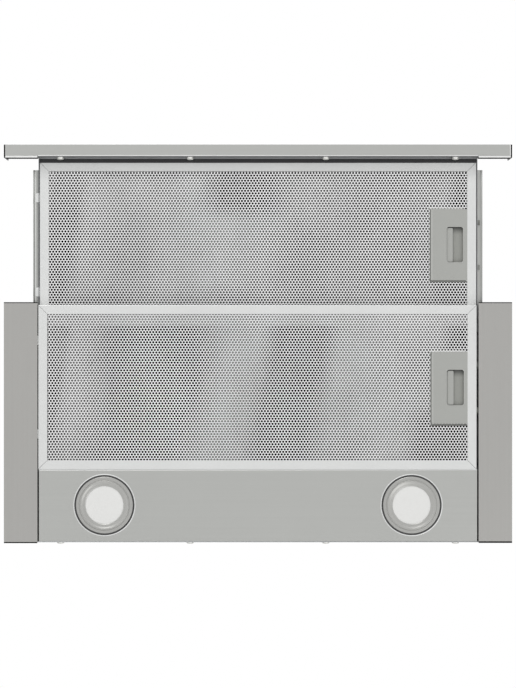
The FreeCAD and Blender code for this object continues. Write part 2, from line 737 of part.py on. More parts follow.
def latch_housing(y_front, z_bottom):
    """Return the moulded latch housing: floor with window, walls and a rim on the mesh."""
    x, y = latch_bounds(y_front)
    z_floor = z_bottom + LATCH_INSET
    z_top = z_bottom + FILTER_HEIGHT - SHEET - MESH_SHEET - RUNNING_GAP
    shell = block(x, y, (z_floor, z_top), LATCH_CORNER)
    z_hollow = (z_floor + LATCH_FLOOR, z_top + CUT)
    hollow = block(grown(x, -LATCH_WALL), grown(y, -LATCH_WALL), z_hollow)
    z_rim = z_bottom + SHEET + MESH_SHEET
    x_rim = (x[0] - LATCH_RIM, x[1] - LATCH_CORNER)
    rim = block(x_rim, grown(y, LATCH_RIM), (z_rim, z_rim + LATCH_RIM_THICKNESS))
    window_x, window_y = window_bounds(y_front)
    window = block(window_x, window_y, (z_floor - CUT, z_floor + LATCH_FLOOR + CUT), WINDOW_CORNER)
    body = union([shell, rim]).cut(hollow).cut(window)
    return body.cut(prong_slots((x[1] - 2 * LATCH_WALL, x[1] + CUT), y_front, z_bottom))


def latch_slider(y_front, z_bottom):
    """Return the sliding plate with two bevelled prongs and the finger tab."""
    window_x, window_y = window_bounds(y_front)
    latch_x, _ = latch_bounds(y_front)
    y_middle = y_front + FILTER_DEPTH / 2
    z = z_bottom + SLIDER_LEVEL
    x_left = window_x[0] + RUNNING_GAP
    x_right = latch_x[1] - LATCH_WALL - RUNNING_GAP
    z_top = z + SLIDER_THICKNESS
    plate = block((x_left, x_right), spaced(y_middle, SLIDER_DEPTH), (z, z_top))
    x_tab = (x_left, x_left + FINGER_TAB_WIDTH)
    z_tab = (z_bottom + LATCH_INSET + LATCH_FLOOR + RUNNING_GAP, z + SLIDER_THICKNESS / 2)
    tab = block(x_tab, grown(window_y, -FINGER_TAB_INSET), z_tab, FINGER_TAB_CORNER)
    pieces = [plate, tab]
    tip = X_FILTER + PRONG_REACH
    bevel = SLIDER_THICKNESS * 0.7
    profile = [
        (x_right - PRONG_ROOT, z),
        (tip - bevel, z),
        (tip, z + bevel),
        (tip, z_top),
        (x_right - PRONG_ROOT, z_top),
    ]
    for y in spaced(y_middle, PRONG_SPACING):
        pieces.append(extruded(profile, "Y", *spaced(y, PRONG_WIDTH)))
    return union(pieces)


def latch_spring(y_front, z_bottom):
    """Return the flat bow spring between the housing's left wall and the slider."""
    window_x, _ = window_bounds(y_front)
    latch_x, _ = latch_bounds(y_front)
    y_middle = y_front + FILTER_DEPTH / 2
    x_seat = latch_x[0] + LATCH_WALL
    x_crown = window_x[0] + RUNNING_GAP
    half = SLIDER_DEPTH / 2 - SPRING_END_GAP
    z = z_bottom + SLIDER_LEVEL + SLIDER_THICKNESS / 2 - SPRING_WIDTH / 4
    wires = []
    for shift in (0.0, -SPRING_THICKNESS):
        crown = Vector(x_crown + shift, y_middle, z)
        start = Vector(x_seat, y_middle - half - shift, z)
        end = Vector(x_seat, y_middle + half + shift, z)
        wires.append(Part.Arc(start, crown, end).toShape())
    ends = []
    for index in (0, -1):
        ends.append(Part.makeLine(wires[0].Vertexes[index].Point, wires[1].Vertexes[index].Point))
    face = Part.Face(Part.Wire(Part.__sortEdges__(wires + ends)))
    return face.extrude(Vector(0, 0, SPRING_WIDTH / 2))


def make_filter(name, y_front, z_bottom):
    """Write one grease filter with its latch."""
    save(name + "_filter_frame", filter_frame(y_front, z_bottom))
    save(name + "_filter_lower_mesh", lower_mesh(y_front, z_bottom))
    save(name + "_filter_mesh_pack", *mesh_pack(y_front, z_bottom))
    save(name + "_latch_housing", latch_housing(y_front, z_bottom))
    save(name + "_latch_slider", latch_slider(y_front, z_bottom))
    save(name + "_latch_spring", latch_spring(y_front, z_bottom))


# ---------------------------------------------------------------- drawer


def drawer_side():
    """Return the right-hand drawer wall, turned in along its top edge."""
    under = Z_DRAWER_TOP - SHEET
    path = [(X_DRAWER_OUTER, Z_DRAWER), (X_DRAWER_OUTER, under), (X_DRAWER_OUTER - DRAWER_SIDE_FLANGE, under)]
    return extruded(folded(path), "Y", Y_DRAWER_WALL, Y_DRAWER_REAR)


def make_drawer():
    """Write the drawer frame and the cover sheet over it."""
    side = drawer_side()
    wall = (X_DRAWER_INNER - SHEET, X_DRAWER_OUTER + SHEET)
    right = side.cut(prong_slots(wall, Y_FRONT_FILTER, Z_FRONT_FILTER))
    left = mirrored(side).cut(tab_slots((-wall[1], -wall[0]), Y_FRONT_FILTER, Z_FRONT_FILTER))
    path = [
        (Y_DRAWER_FLANGE + SHEET, DRAWER_FRONT_BOTTOM),
        (Y_DRAWER_FLANGE + SHEET, DRAWER_STEP_LEVEL),
        (Y_DRAWER_WALL + SHEET, DRAWER_STEP_LEVEL),
        (Y_DRAWER_WALL + SHEET, Z_DRAWER_TOP - SHEET),
        (Y_DRAWER_WALL + SHEET + DRAWER_FRONT_FLANGE, Z_DRAWER_TOP - SHEET),
    ]
    front = extruded(path + offset_path(path, SHEET)[::-1], "X", -X_DRAWER_OUTER, X_DRAWER_OUTER)
    for x in SCREW_X:
        front = front.cut(screw_hole(x, Y_DRAWER_FLANGE, TRIM_SCREW_LEVEL))
    z_bar = Z_DRAWER + REAR_BAR_HEIGHT
    y_bar = Y_REAR_BAR + SHEET
    path = [(y_bar, Z_DRAWER), (y_bar, z_bar - SHEET), (Y_DRAWER_REAR, z_bar - SHEET)]
    rear = extruded(path + offset_path(path, SHEET)[::-1], "X", -X_DRAWER_OUTER, X_DRAWER_OUTER)
    save("drawer_frame", union([right, left, front, rear]))

    inset = X_DRAWER_INNER - RUNNING_GAP
    top = Z_DRAWER_TOP + SHEET
    cover = block((-X_DRAWER_OUTER, X_DRAWER_OUTER), (Y_DRAWER_WALL, Y_DRAWER_REAR), (Z_DRAWER_TOP, top))
    lip = block((-inset, inset), (Y_DRAWER_REAR, Y_DRAWER_REAR + SHEET), (Z_DRAWER_TOP - COVER_LIP, top))
    save("drawer_cover", union([cover, lip]))


# ---------------------------------------------------------------- slides


def outer_rail():
    """Return the right-hand fixed rail, a hooked channel with concave ball tracks."""
    inner = X_CASING_INNER - OUTER_RAIL_WIDTH
    top = Z_RAIL + RAIL_HEIGHT
    path = [
        (inner, Z_RAIL + RAIL_HOOK),
        (inner, Z_RAIL),
        (X_CASING_INNER, Z_RAIL),
        (X_CASING_INNER, top),
        (inner, top),
        (inner, top - RAIL_HOOK),
    ]
    y_rear = Y_BODY_FRONT + FILTER_FRONT_GAP + OUTER_RAIL_LENGTH
    rail = extruded(folded(path, RAIL_THICKNESS), "Y", Y_BODY_FRONT + FILTER_FRONT_GAP, y_rear)
    return rail.cut(ball_tracks(Y_BODY_FRONT, y_rear + CUT))


def track_middle():
    """Return the distance of a ball track from the middle height of the slide."""
    return RAIL_HEIGHT / 2 - RAIL_THICKNESS - BALL_SPACE / 2


def track_x():
    """Return the distance of the right-hand ball tracks from the hood's middle."""
    return X_CASING_INNER - OUTER_RAIL_WIDTH + RAIL_THICKNESS + GROOVE_RADIUS - TRACK_EDGE_GAP


def ball_tracks(y_start, y_end):
    """Return the two cutters that hollow the tracks of the right-hand slide."""
    tracks = []
    for z in spaced(Z_RAIL_MIDDLE, 2 * track_middle()):
        tracks.append(rod("Y", y_start, y_end, GROOVE_RADIUS, track_x(), z))
    return Part.makeCompound(tracks)


def inner_rail():
    """Return the right-hand rail on the drawer, a channel that faces the fixed rail."""
    half = track_middle() - BALL_SPACE / 2
    outer = X_DRAWER_OUTER + INNER_RAIL_WIDTH
    low = Z_RAIL_MIDDLE - half
    high = Z_RAIL_MIDDLE + half
    path = [(outer, high), (X_DRAWER_OUTER, high), (X_DRAWER_OUTER, low), (outer, low)]
    y_front = Y_DRAWER_FLANGE + INNER_RAIL_SETBACK
    rail = extruded(folded(path, RAIL_THICKNESS), "Y", y_front, y_front + INNER_RAIL_LENGTH)
    return rail.cut(ball_tracks(y_front - CUT, y_front + INNER_RAIL_LENGTH + CUT))


def ball(centre):
    """Return one ball of a slide, many-sided because the slides hold so many."""
    profile = []
    for number in range(BALL_RINGS):
        turn = math.pi * (number + 0.5) / BALL_RINGS
        profile.append((BALL_RADIUS * math.sin(turn), -BALL_RADIUS * math.cos(turn)))
    return faceted(profile, BALL_SIDES, centre)


def ball_cage():
    """Return the right-hand ball cage, and the list of its balls in two rows."""
    reach = track_middle() + CAGE_THICKNESS / 2
    x_inner = X_CASING_INNER - OUTER_RAIL_WIDTH + RAIL_THICKNESS + CAGE_EDGE_GAP
    x_outer = (X_DRAWER_OUTER + INNER_RAIL_WIDTH + X_CASING_INNER - RAIL_THICKNESS + CAGE_THICKNESS) / 2
    low = Z_RAIL_MIDDLE - reach
    high = Z_RAIL_MIDDLE + reach
    path = [(x_inner, low), (x_outer, low), (x_outer, high), (x_inner, high)]
    y_rear = Y_DRAWER_FLANGE + INNER_RAIL_SETBACK + INNER_RAIL_LENGTH - CAGE_SETBACK
    y_front = y_rear - CAGE_LENGTH
    cage = extruded(folded(path, CAGE_THICKNESS), "Y", y_front, y_rear)
    balls = []
    pitch = CAGE_LENGTH / BALLS_PER_TRACK
    for z in spaced(Z_RAIL_MIDDLE, 2 * track_middle()):
        for number in range(BALLS_PER_TRACK):
            y = y_front + (number + 0.5) * pitch
            pocket = 2 * (BALL_RADIUS + BALL_FIT)
            cage = cage.cut(block(spaced(track_x(), pocket), spaced(y, pocket), spaced(z, 2 * CUT)))
            balls.append(ball(Vector(track_x(), y, z)))
    return cage, balls


def make_slides():
    """Write the two ball-bearing slides."""
    outer = outer_rail()
    save("rail_outer_right", outer)
    save("rail_outer_left", mirrored(outer))
    inner = inner_rail()
    save("rail_inner_right", inner)
    save("rail_inner_left", mirrored(inner))
    cage, balls = ball_cage()
    save("rail_cages", cage, mirrored(cage))
    save("rail_balls", *(balls + [mirrored(ball) for ball in balls]))


# ---------------------------------------------------------------- trim and buttons


def button_places():
    """Return the X of each push button, from left to right."""
    middle = (len(BUTTON_NAMES) - 1) / 2
    return [X_BUTTONS + (number - middle) * BUTTON_PITCH for number in range(len(BUTTON_NAMES))]


def front_trim():
    """Return the folded strip across the front of the drawer."""
    x_centre = X_DRAWER_OUTER + RUNNING_GAP
    x_end = WIDTH / 2 - END_CAP_THICKNESS
    y_under = Y_FRONT + TRIM_UNDERSIDE
    top = [
        (Y_DRAWER_FLANGE, TRIM_HEIGHT - TRIM_TOP_FLANGE),
        (Y_DRAWER_FLANGE, TRIM_HEIGHT),
        (Y_FRONT, TRIM_HEIGHT),
        (Y_FRONT, 0),
    ]
    flange = [(Y_DRAWER_FLANGE, 0), (Y_DRAWER_FLANGE, TRIM_FLANGE_HEIGHT)]
    middle = extruded(folded(top + flange, TRIM_SKIN), "X", -x_centre, x_centre)
    slope = [(y_under, 0), (Y_TRIM_BACK - RUNNING_GAP, HEM_RISE)]
    hem = extruded(folded(top + slope, TRIM_SKIN), "X", x_centre, x_end)
    chamfer = [
        (x_end + CUT, y_under),
        (x_end + CUT, Y_TRIM_BACK + CUT),
        (x_end - HEM_CHAMFER - CUT, Y_TRIM_BACK + CUT),
        (x_end, y_under),
    ]
    corner = extruded(chamfer, "Z", -CUT, TRIM_HEIGHT / 2)
    hem = hem.cut(corner)
    strip = union([middle, hem, mirrored(hem)])
    window = block(
        grown((X_BUTTONS, X_BUTTONS), BEZEL_WIDTH / 2 + RUNNING_GAP / 2),
        (Y_FRONT - CUT, Y_FRONT + 2 * TRIM_SKIN),
        grown((BUTTON_LEVEL, BUTTON_LEVEL), BEZEL_HEIGHT / 2 + RUNNING_GAP / 2),
    )
    strip = strip.cut(window)
    for x in SCREW_X:
        strip = strip.cut(screw_hole(x, Y_DRAWER_FLANGE, TRIM_SCREW_LEVEL))
    return strip


def chamfered(x, y, z, corner):
    """Return a block whose corners, seen from the front, are cut off."""
    outline = []
    for across, inward in ((x[0], corner), (x[1], -corner)):
        for up, rise in ((z[0], corner), (z[1], -corner)):
            outline.append((across + inward, up))
            outline.append((across, up + rise))
    order = [0, 4, 5, 7, 6, 2, 3, 1]
    return extruded([outline[index] for index in order], "Y", *y)


def switch_row(x, margin, y, corner):
    """Return a block round one button's place, larger than it by a margin."""
    x_span = grown((x, x), BUTTON_WIDTH / 2 + margin)
    z_span = grown((BUTTON_LEVEL, BUTTON_LEVEL), BUTTON_HEIGHT / 2 + margin)
    return chamfered(x_span, y, z_span, corner)


def make_trim():
    """Write the trim, its end caps and screws, and the push-button switch in it."""
    save("front_trim", front_trim())
    x_cap = (WIDTH / 2 - END_CAP_THICKNESS, WIDTH / 2)
    cap = block(x_cap, (Y_FRONT, Y_TRIM_BACK - RUNNING_GAP), (0, TRIM_HEIGHT))
    edges = [edge for edge in cap.Edges if abs(edge.tangentAt(edge.FirstParameter).x) > 0.9]
    cap = cap.makeChamfer(END_CAP_CORNER, edges)
    save("trim_end_caps", cap, mirrored(cap))
    seats = [Vector(x, Y_DRAWER_FLANGE + SHEET, TRIM_SCREW_LEVEL) for x in SCREW_X]
    save("trim_screws", *[pan_screw(seat, TRIM_HEAD) for seat in seats])

    y_bezel = Y_FRONT + BEZEL_THICKNESS
    x_bezel = grown((X_BUTTONS, X_BUTTONS), BEZEL_WIDTH / 2)
    z_bezel = grown((BUTTON_LEVEL, BUTTON_LEVEL), BEZEL_HEIGHT / 2)
    bezel = block(x_bezel, (Y_FRONT, y_bezel), z_bezel)
    y_switch = y_bezel + SWITCH_DEPTH
    switch = block(grown(x_bezel, SWITCH_MARGIN), (y_bezel, y_switch), grown(z_bezel, SWITCH_MARGIN))
    y_face = Y_FRONT + RUNNING_GAP
    y_rim = y_bezel + RUNNING_GAP
    y_hole = (Y_FRONT - CUT, y_bezel + CUT)
    y_pocket = (y_bezel - CUT, y_face + BUTTON_LENGTH + BUTTON_TRAVEL + RUNNING_GAP)
    for name, x in zip(BUTTON_NAMES, button_places()):
        bezel = bezel.cut(switch_row(x, BUTTON_GAP, y_hole, BUTTON_CORNER + BUTTON_GAP))
        switch = switch.cut(switch_row(x, BUTTON_FLANGE + BUTTON_GAP, y_pocket, BUTTON_CORNER))
        stem = switch_row(x, 0.0, (y_face, y_face + BUTTON_LENGTH), BUTTON_CORNER)
        rim = switch_row(x, BUTTON_FLANGE, (y_rim, y_rim + BUTTON_FLANGE_LENGTH), BUTTON_CORNER)
        save("button_" + name, union([stem, rim]))
    save("switch_bezel", bezel)
    save("switch_block", switch)


# ---------------------------------------------------------------- fan


def volute_corners(offset):
    """Return the fan-centred arcs of the scroll: centre, radius, start and end angle in degrees."""
    half = SCROLL_STEP / 2
    first = SCROLL_RADIUS - SCROLL_STEP + offset
    wall_y = TONGUE_OFFSET - offset
    tongue = math.degrees(math.acos((wall_y + half) / first))
    return [
        ((-half, half), first, tongue, 90),
        ((-half, -half), first + SCROLL_STEP, 90, 180),
        ((half, -half), first + 2 * SCROLL_STEP, 180, 270),
        ((half, half), first + 3 * SCROLL_STEP, 270, 360),
    ]


def volute(offset, x_start, x_end):
    """Return the scroll's filled outline, grown by an offset, as a solid between two X."""

    def point(centre, radius, angle):
        turn = math.radians(angle)
        across = Y_FAN + centre[0] + radius * math.cos(turn)
        return Vector(x_start, across, Z_FAN + centre[1] + radius * math.sin(turn))

    arcs = volute_corners(offset)
    edges = []
    for centre, radius, start, end in arcs:
        middle = point(centre, radius, (start + end) / 2)
        edges.append(Part.Arc(point(centre, radius, start), middle, point(centre, radius, end)).toShape())
    tongue = point(*arcs[0][:3])
    outlet_end = point(arcs[-1][0], arcs[-1][1], 360)
    top = Z_FAN + OUTLET_RISE
    corners = [outlet_end, Vector(x_start, outlet_end.y, top), Vector(x_start, tongue.y, top), tongue]
    edges += Part.makePolygon(corners).Edges
    return Part.Face(Part.Wire(Part.__sortEdges__(edges))).extrude(Vector(x_end - x_start, 0, 0))


def scroll_half():
    """Return the right-hand half of the scroll housing with its inlet ring and joint rim."""
    wrap = volute(SCROLL_WALL, 0, X_SCROLL).cut(volute(0, -CUT, X_SCROLL_INNER))
    rim = volute(SCROLL_WALL + SCROLL_RIM, 0, SCROLL_RIM_WIDTH)
    rim = rim.cut(volute(0, -CUT, SCROLL_RIM_WIDTH + CUT))
    ring = rod("X", X_SCROLL_INNER, X_SCROLL + INLET_LIP, INLET_RADIUS + 2 * SCROLL_WALL, Y_FAN, Z_FAN)
    bore = rod("X", -CUT, X_SCROLL + INLET_LIP + CUT, INLET_RADIUS, Y_FAN, Z_FAN)
    mouth = Part.makeCone(
        INLET_RADIUS,
        INLET_RADIUS + SCROLL_WALL,
        INLET_LIP / 2,
        Vector(X_SCROLL + INLET_LIP / 2, Y_FAN, Z_FAN),
        Vector(1, 0, 0),
    )
    return union([wrap, rim, ring]).cut(bore).cut(mouth)


def impeller():
    """Return the double-inlet wheel: hub, middle disc, two rings and forward-curved blades."""
    half = IMPELLER_WIDTH / 2
    inner = IMPELLER_RADIUS - BLADE_DEPTH
    disc = rod("X", *spaced(0, WHEEL_DISC), inner + WHEEL_DISC_OVERLAP, Y_FAN, Z_FAN)
    hub = rod("X", -HUB_LENGTH / 2, HUB_LENGTH / 2, HUB_RADIUS, Y_FAN, Z_FAN)
    rings = []
    for start in (-half, half - BLADE_RING_WIDTH):
        ring = rod("X", start, start + BLADE_RING_WIDTH, IMPELLER_RADIUS, Y_FAN, Z_FAN)
        bore = rod("X", start - CUT, start + BLADE_RING_WIDTH + CUT, inner, Y_FAN, Z_FAN)
        rings.append(ring.cut(bore))
    blade = impeller_blade(-half + BLADE_END_GAP, half - BLADE_END_GAP)
    blades = []
    for number in range(BLADE_COUNT):
        copy = blade.copy()
        copy.rotate(Vector(0, Y_FAN, Z_FAN), Vector(1, 0, 0), number * 360.0 / BLADE_COUNT)
        blades.append(copy)
    wheel = union([disc, hub] + rings + blades)
    return wheel.cut(rod("X", -half, half, SHAFT_RADIUS, Y_FAN, Z_FAN))


def impeller_blade(x_start, x_end):
    """Return one blade, a bent strip that leans towards the turn."""
    y_inner = Y_FAN + IMPELLER_RADIUS - BLADE_DEPTH + BLADE_ROOT_GAP
    y_outer = Y_FAN + IMPELLER_RADIUS - BLADE_TIP_GAP
    y_bend = (y_inner + y_outer) / 2
    side = [(y_inner, Z_FAN), (y_bend, Z_FAN + BLADE_LEAN / 2 - BLADE_BULGE), (y_outer, Z_FAN + BLADE_LEAN)]
    return extruded(folded(side, BLADE_THICKNESS), "X", x_start, x_end)


def make_fan():
    """Write the scroll, the wheel on its shaft, the motor, its bracket and the capacitor."""
    half = scroll_half()
    save("scroll_half_right", half)
    save("scroll_half_left", mirrored(half))
    save("impeller", impeller())

    x_motor_end = -HUB_LENGTH / 2 - MOTOR_HUB_GAP
    x_motor = x_motor_end - MOTOR_LENGTH
    shoulder = MOTOR_LENGTH - MOTOR_END_CHAMFER
    boss = SHAFT_RADIUS + MOTOR_BOSS
    profile = [
        (0, 0),
        (MOTOR_RADIUS - MOTOR_CHAMFER, 0),
        (MOTOR_RADIUS, MOTOR_CHAMFER),
        (MOTOR_RADIUS, shoulder - MOTOR_END_CHAMFER),
        (MOTOR_RADIUS - MOTOR_END_CHAMFER, shoulder),
        (boss, shoulder),
        (boss, MOTOR_LENGTH),
        (0, MOTOR_LENGTH),
    ]
    motor = turned(profile, Vector(x_motor, Y_FAN, Z_FAN), Vector(1, 0, 0))
    x_bore = x_motor_end - SHAFT_DEPTH
    bore = rod("X", x_bore, x_motor_end + CUT, SHAFT_RADIUS + SHAFT_FIT, Y_FAN, Z_FAN)
    save("fan_motor", motor.cut(bore))
    shaft = rod("X", x_bore + RUNNING_GAP, HUB_LENGTH / 2 + SHAFT_END, SHAFT_RADIUS, Y_FAN, Z_FAN)
    save("motor_shaft", shaft)
    save("motor_bracket", motor_bracket(x_motor + BRACKET_RING_OFFSET))

    x_plate = -X_BOX + SHEET
    y_can = Y_BOX_REAR - CAPACITOR_FROM_REAR
    can = rod("X", x_plate, x_plate + CAPACITOR_LENGTH, CAPACITOR_RADIUS, y_can, Z_FAN)
    stud = rod("X", x_plate - CAPACITOR_STUD, x_plate + CUT, SHAFT_RADIUS, y_can, Z_FAN)
    save("capacitor", union([can, stud]))


def motor_bracket(x_ring):
    """Return the clamp ring round the motor with three cranked arms to the scroll's side."""
    x_end = x_ring + BRACKET_RING_WIDTH
    ring = rod("X", x_ring, x_end, MOTOR_RADIUS + BRACKET_RING, Y_FAN, Z_FAN)
    ring = ring.cut(rod("X", x_ring - CUT, x_end + CUT, MOTOR_RADIUS, Y_FAN, Z_FAN))
    foot = INLET_RADIUS + 2 * SCROLL_WALL + BRACKET_ARM_GAP
    path = [
        (MOTOR_RADIUS + BRACKET_RING / 2, x_ring),
        (foot, x_ring),
        (foot, -X_SCROLL),
        (foot + BRACKET_FOOT, -X_SCROLL),
    ]
    outline = folded(path, -BRACKET_ARM_THICKNESS)
    corners = [Vector(x, Y_FAN + radius, Z_FAN - BRACKET_ARM / 2) for radius, x in outline]
    arm = Part.Face(Part.makePolygon(corners + corners[:1])).extrude(Vector(0, 0, BRACKET_ARM))
    arms = []
    for number in range(BRACKET_ARMS):
        copy = arm.copy()
        copy.rotate(Vector(0, Y_FAN, Z_FAN), Vector(1, 0, 0), 90 + number * 360 / BRACKET_ARMS)
        arms.append(copy)
    return union([ring] + arms)


def make_motor_box():
    """Write the folded housing over the fan."""
    x_inner = X_BOX - SHEET
    front = Y_BOX_FRONT + SHEET
    rear = Y_BOX_REAR - SHEET
    under = Z_BOX_TOP - SHEET
    path = [
        (front - FOOT_FLANGE, Z_DECK),
        (front, Z_DECK),
        (front, under),
        (rear, under),
        (rear, Z_DECK),
        (rear + FOOT_FLANGE, Z_DECK),
    ]
    wrap = extruded(folded(path), "X", -x_inner, x_inner)
    wrap = wrap.cut(rod("Z", under - CUT, Z_BOX_TOP + CUT, COLLAR_INNER, 0, Y_COLLAR))
    save("motor_housing", wrap)
    foot = [(X_BOX + FOOT_FLANGE, Z_DECK), (x_inner, Z_DECK), (x_inner, Z_BOX_TOP)]
    side = extruded(folded(foot, -SHEET), "Y", Y_BOX_FRONT, Y_BOX_REAR)
    hole = SHAFT_RADIUS + SCREW_HOLE_GAP
    y_can = Y_BOX_REAR - CAPACITOR_FROM_REAR
    left = mirrored(side).cut(rod("X", -X_BOX - CUT, -x_inner + CUT, hole, y_can, Z_FAN))
    save("motor_housing_sides", side, left)


def make_collar():
    """Write the duct collar, the pin across it and the two back-draught flaps."""
    ledge_top = LEDGE_HEIGHT + LEDGE_THICKNESS
    profile = [
        (COLLAR_INNER, 0),
        (COLLAR_RADIUS + COLLAR_FLANGE, 0),
        (COLLAR_RADIUS + COLLAR_FLANGE, COLLAR_FLANGE_THICKNESS),
        (COLLAR_RADIUS, COLLAR_FLANGE_THICKNESS),
        (COLLAR_RADIUS, COLLAR_HEIGHT),
        (COLLAR_INNER, COLLAR_HEIGHT),
        (COLLAR_INNER, ledge_top),
        (COLLAR_INNER - LEDGE_WIDTH, ledge_top),
        (COLLAR_INNER, LEDGE_HEIGHT - LEDGE_WIDTH),
    ]
    collar = turned(profile, Vector(0, Y_COLLAR, Z_BOX_TOP))
    pin_hole = rod("Y", *spaced(Y_COLLAR, 2 * (COLLAR_RADIUS + CUT)), PIN_RADIUS, 0, Z_PIN)
    save("duct_collar", collar.cut(pin_hole))
    save("flap_pin", rod("Y", *spaced(Y_COLLAR, 2 * (COLLAR_RADIUS - PIN_END_GAP)), PIN_RADIUS, 0, Z_PIN))
    save("flap_left", flap(-1, (-KNUCKLE_PITCH, KNUCKLE_PITCH)))
    save("flap_right", flap(1, (0,)))


def flap(side, knuckles):
    """Return the half-round flap on one side of the pin, with its share of the knuckles."""
    radius = COLLAR_INNER - 2 * RUNNING_GAP
    disc = rod("Z", Z_FLAP, Z_PIN, radius, 0, Y_COLLAR)
    edges = sorted((side * FLAP_EDGE, side * 2 * radius))
    pieces = [disc.common(block(edges, spaced(Y_COLLAR, 2 * radius), (Z_FLAP - CUT, Z_PIN + CUT)))]
    for offset in knuckles:
        span = spaced(Y_COLLAR + offset, KNUCKLE_LENGTH)
        pieces.append(rod("Y", *span, KNUCKLE_RADIUS, 0, Z_PIN))
        pieces.append(block(sorted((0.0, side * (FLAP_EDGE + CUT))), span, (Z_FLAP, Z_PIN)))
    return union(pieces).cut(rod("Y", *spaced(Y_COLLAR, 2 * radius), PIN_RADIUS + PIN_FIT, 0, Z_PIN))


def make_terminal_box():
    """Write the connection box on the deck, its lid and the cable gland in its rear wall."""
    x_left = X_BOX + FOOT_FLANGE + TERMINAL_GAP
    x = (x_left, x_left + TERMINAL_WIDTH)
    y = spaced(Y_FAN, TERMINAL_DEPTH)
    top = Z_DECK + TERMINAL_HEIGHT
    shell = block(x, y, (Z_DECK, top), TERMINAL_CORNER)
    z_hollow = (Z_DECK + TERMINAL_WALL, top + CUT)
    hollow = block(grown(x, -TERMINAL_WALL), grown(y, -TERMINAL_WALL), z_hollow)
    x_gland = x_left + TERMINAL_WIDTH / 2
    z_gland = Z_DECK + TERMINAL_HEIGHT / 2
    hole = rod("Y", y[1] - 2 * TERMINAL_WALL, y[1] + CUT, GLAND_RADIUS, x_gland, z_gland)
    save("terminal_box", shell.cut(hollow).cut(hole))

    lid = block(x, y, (top, top + TERMINAL_LID), TERMINAL_CORNER)
    inset = -TERMINAL_WALL - RUNNING_GAP
    plug = block(grown(x, inset), grown(y, inset), (top - LID_PLUG, top + CUT))
    save("terminal_box_lid", union([lid, plug]))
    save("cable_gland", cable_gland(x_gland, y[1], z_gland))


def cable_gland(x, y_wall, z):
    """Return the gland through a wall: threaded body, hexagonal nut and clamping dome."""
    y_nut = y_wall + GLAND_NUT_LENGTH
    body = rod("Y", y_wall - GLAND_INNER_LENGTH, y_wall + CUT, GLAND_RADIUS, x, z)
    hexagon = []
    for number in range(6):
        turn = math.radians(60 * number)
        hexagon.append((x + GLAND_NUT_RADIUS * math.cos(turn), z + GLAND_NUT_RADIUS * math.sin(turn)))
    nut = extruded(hexagon, "Y", y_wall, y_nut)
    tip = Vector(x, y_nut, z)
    dome = Part.makeCone(GLAND_DOME_RADIUS, GLAND_TIP_RADIUS, GLAND_DOME_LENGTH, tip, Vector(0, 1, 0))
    y_bore = (y_wall - GLAND_INNER_LENGTH - CUT, y_nut + GLAND_DOME_LENGTH + CUT)
    return union([body, nut, dome]).cut(rod("Y", *y_bore, GLAND_BORE_RADIUS, x, z))


def main():
    """Write every node of the hood."""
    os.makedirs("parts", exist_ok=True)
    make_casing()
    make_lamp_panel()
    make_filter("rear", Y_REAR_FILTER, Z_REAR_FILTER)
    make_filter("front", Y_FRONT_FILTER, Z_FRONT_FILTER)
    make_drawer()
    make_slides()
    make_trim()
    make_fan()
    make_motor_box()
    make_collar()
    make_terminal_box()


main()
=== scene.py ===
"""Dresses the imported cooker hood: a finish for every part, and fuller filters, lamps and latches."""

import logging
import math
from contextlib import contextmanager
from dataclasses import dataclass, field
from enum import Enum
from typing import Any, Callable, Iterator, Sequence

import bmesh
import bpy
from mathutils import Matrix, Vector


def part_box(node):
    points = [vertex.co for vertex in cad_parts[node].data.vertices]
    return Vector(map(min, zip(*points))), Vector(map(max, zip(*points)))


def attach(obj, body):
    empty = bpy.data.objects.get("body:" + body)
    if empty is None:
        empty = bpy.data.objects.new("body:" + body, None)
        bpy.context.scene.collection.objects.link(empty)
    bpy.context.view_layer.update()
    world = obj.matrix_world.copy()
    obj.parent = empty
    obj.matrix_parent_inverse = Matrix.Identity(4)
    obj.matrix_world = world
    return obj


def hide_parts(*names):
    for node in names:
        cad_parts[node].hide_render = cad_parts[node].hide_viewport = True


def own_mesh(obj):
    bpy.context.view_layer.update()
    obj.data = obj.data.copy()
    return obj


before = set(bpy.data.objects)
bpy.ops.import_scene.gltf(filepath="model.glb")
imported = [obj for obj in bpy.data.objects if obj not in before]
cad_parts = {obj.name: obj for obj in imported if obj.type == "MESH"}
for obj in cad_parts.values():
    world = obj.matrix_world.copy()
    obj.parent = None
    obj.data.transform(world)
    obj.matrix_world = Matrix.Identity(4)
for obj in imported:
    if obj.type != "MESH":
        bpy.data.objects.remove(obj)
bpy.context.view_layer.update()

MM = 0.001
TINY = 1e-6  # metres below which two places are the same
WELD = 0.01  # millimetres within which points are merged
LATHE_WELD = 0.002
FLAT_ANGLE = 1.5  # degrees below which faces are merged
SHARP_ANGLE = 38.0  # degrees above which an edge is softened
log = logging.getLogger("cooker_hood")

Span = tuple[float, float]
Place = tuple[float, float, float]
Colour = tuple[float, float, float]
Piece = bpy.types.Object
Material = bpy.types.Material
Socket = bpy.types.NodeSocket
EdgeTest = Callable[[Vector, Vector], bool]
Settings = dict[str, Any] | None
ORIGIN: Place = (0.0, 0.0, 0.0)


# ---------------------------------------------------------------- shop tools


def metres(*millimetres: float) -> tuple[float, ...]:
    """Return lengths given in millimetres as metres."""
    return tuple(value * MM for value in millimetres)


def put_down() -> None:
    """Leave edit mode and deselect everything, before a primitive is added."""
    if bpy.context.mode != "OBJECT":
        bpy.ops.object.mode_set(mode="OBJECT")
    bpy.ops.object.select_all(action="DESELECT")


def take_up(piece: Piece) -> None:
    """Make one object the only selected and active one, in object mode."""
    put_down()
    piece.select_set(True)
    bpy.context.view_layer.objects.active = piece


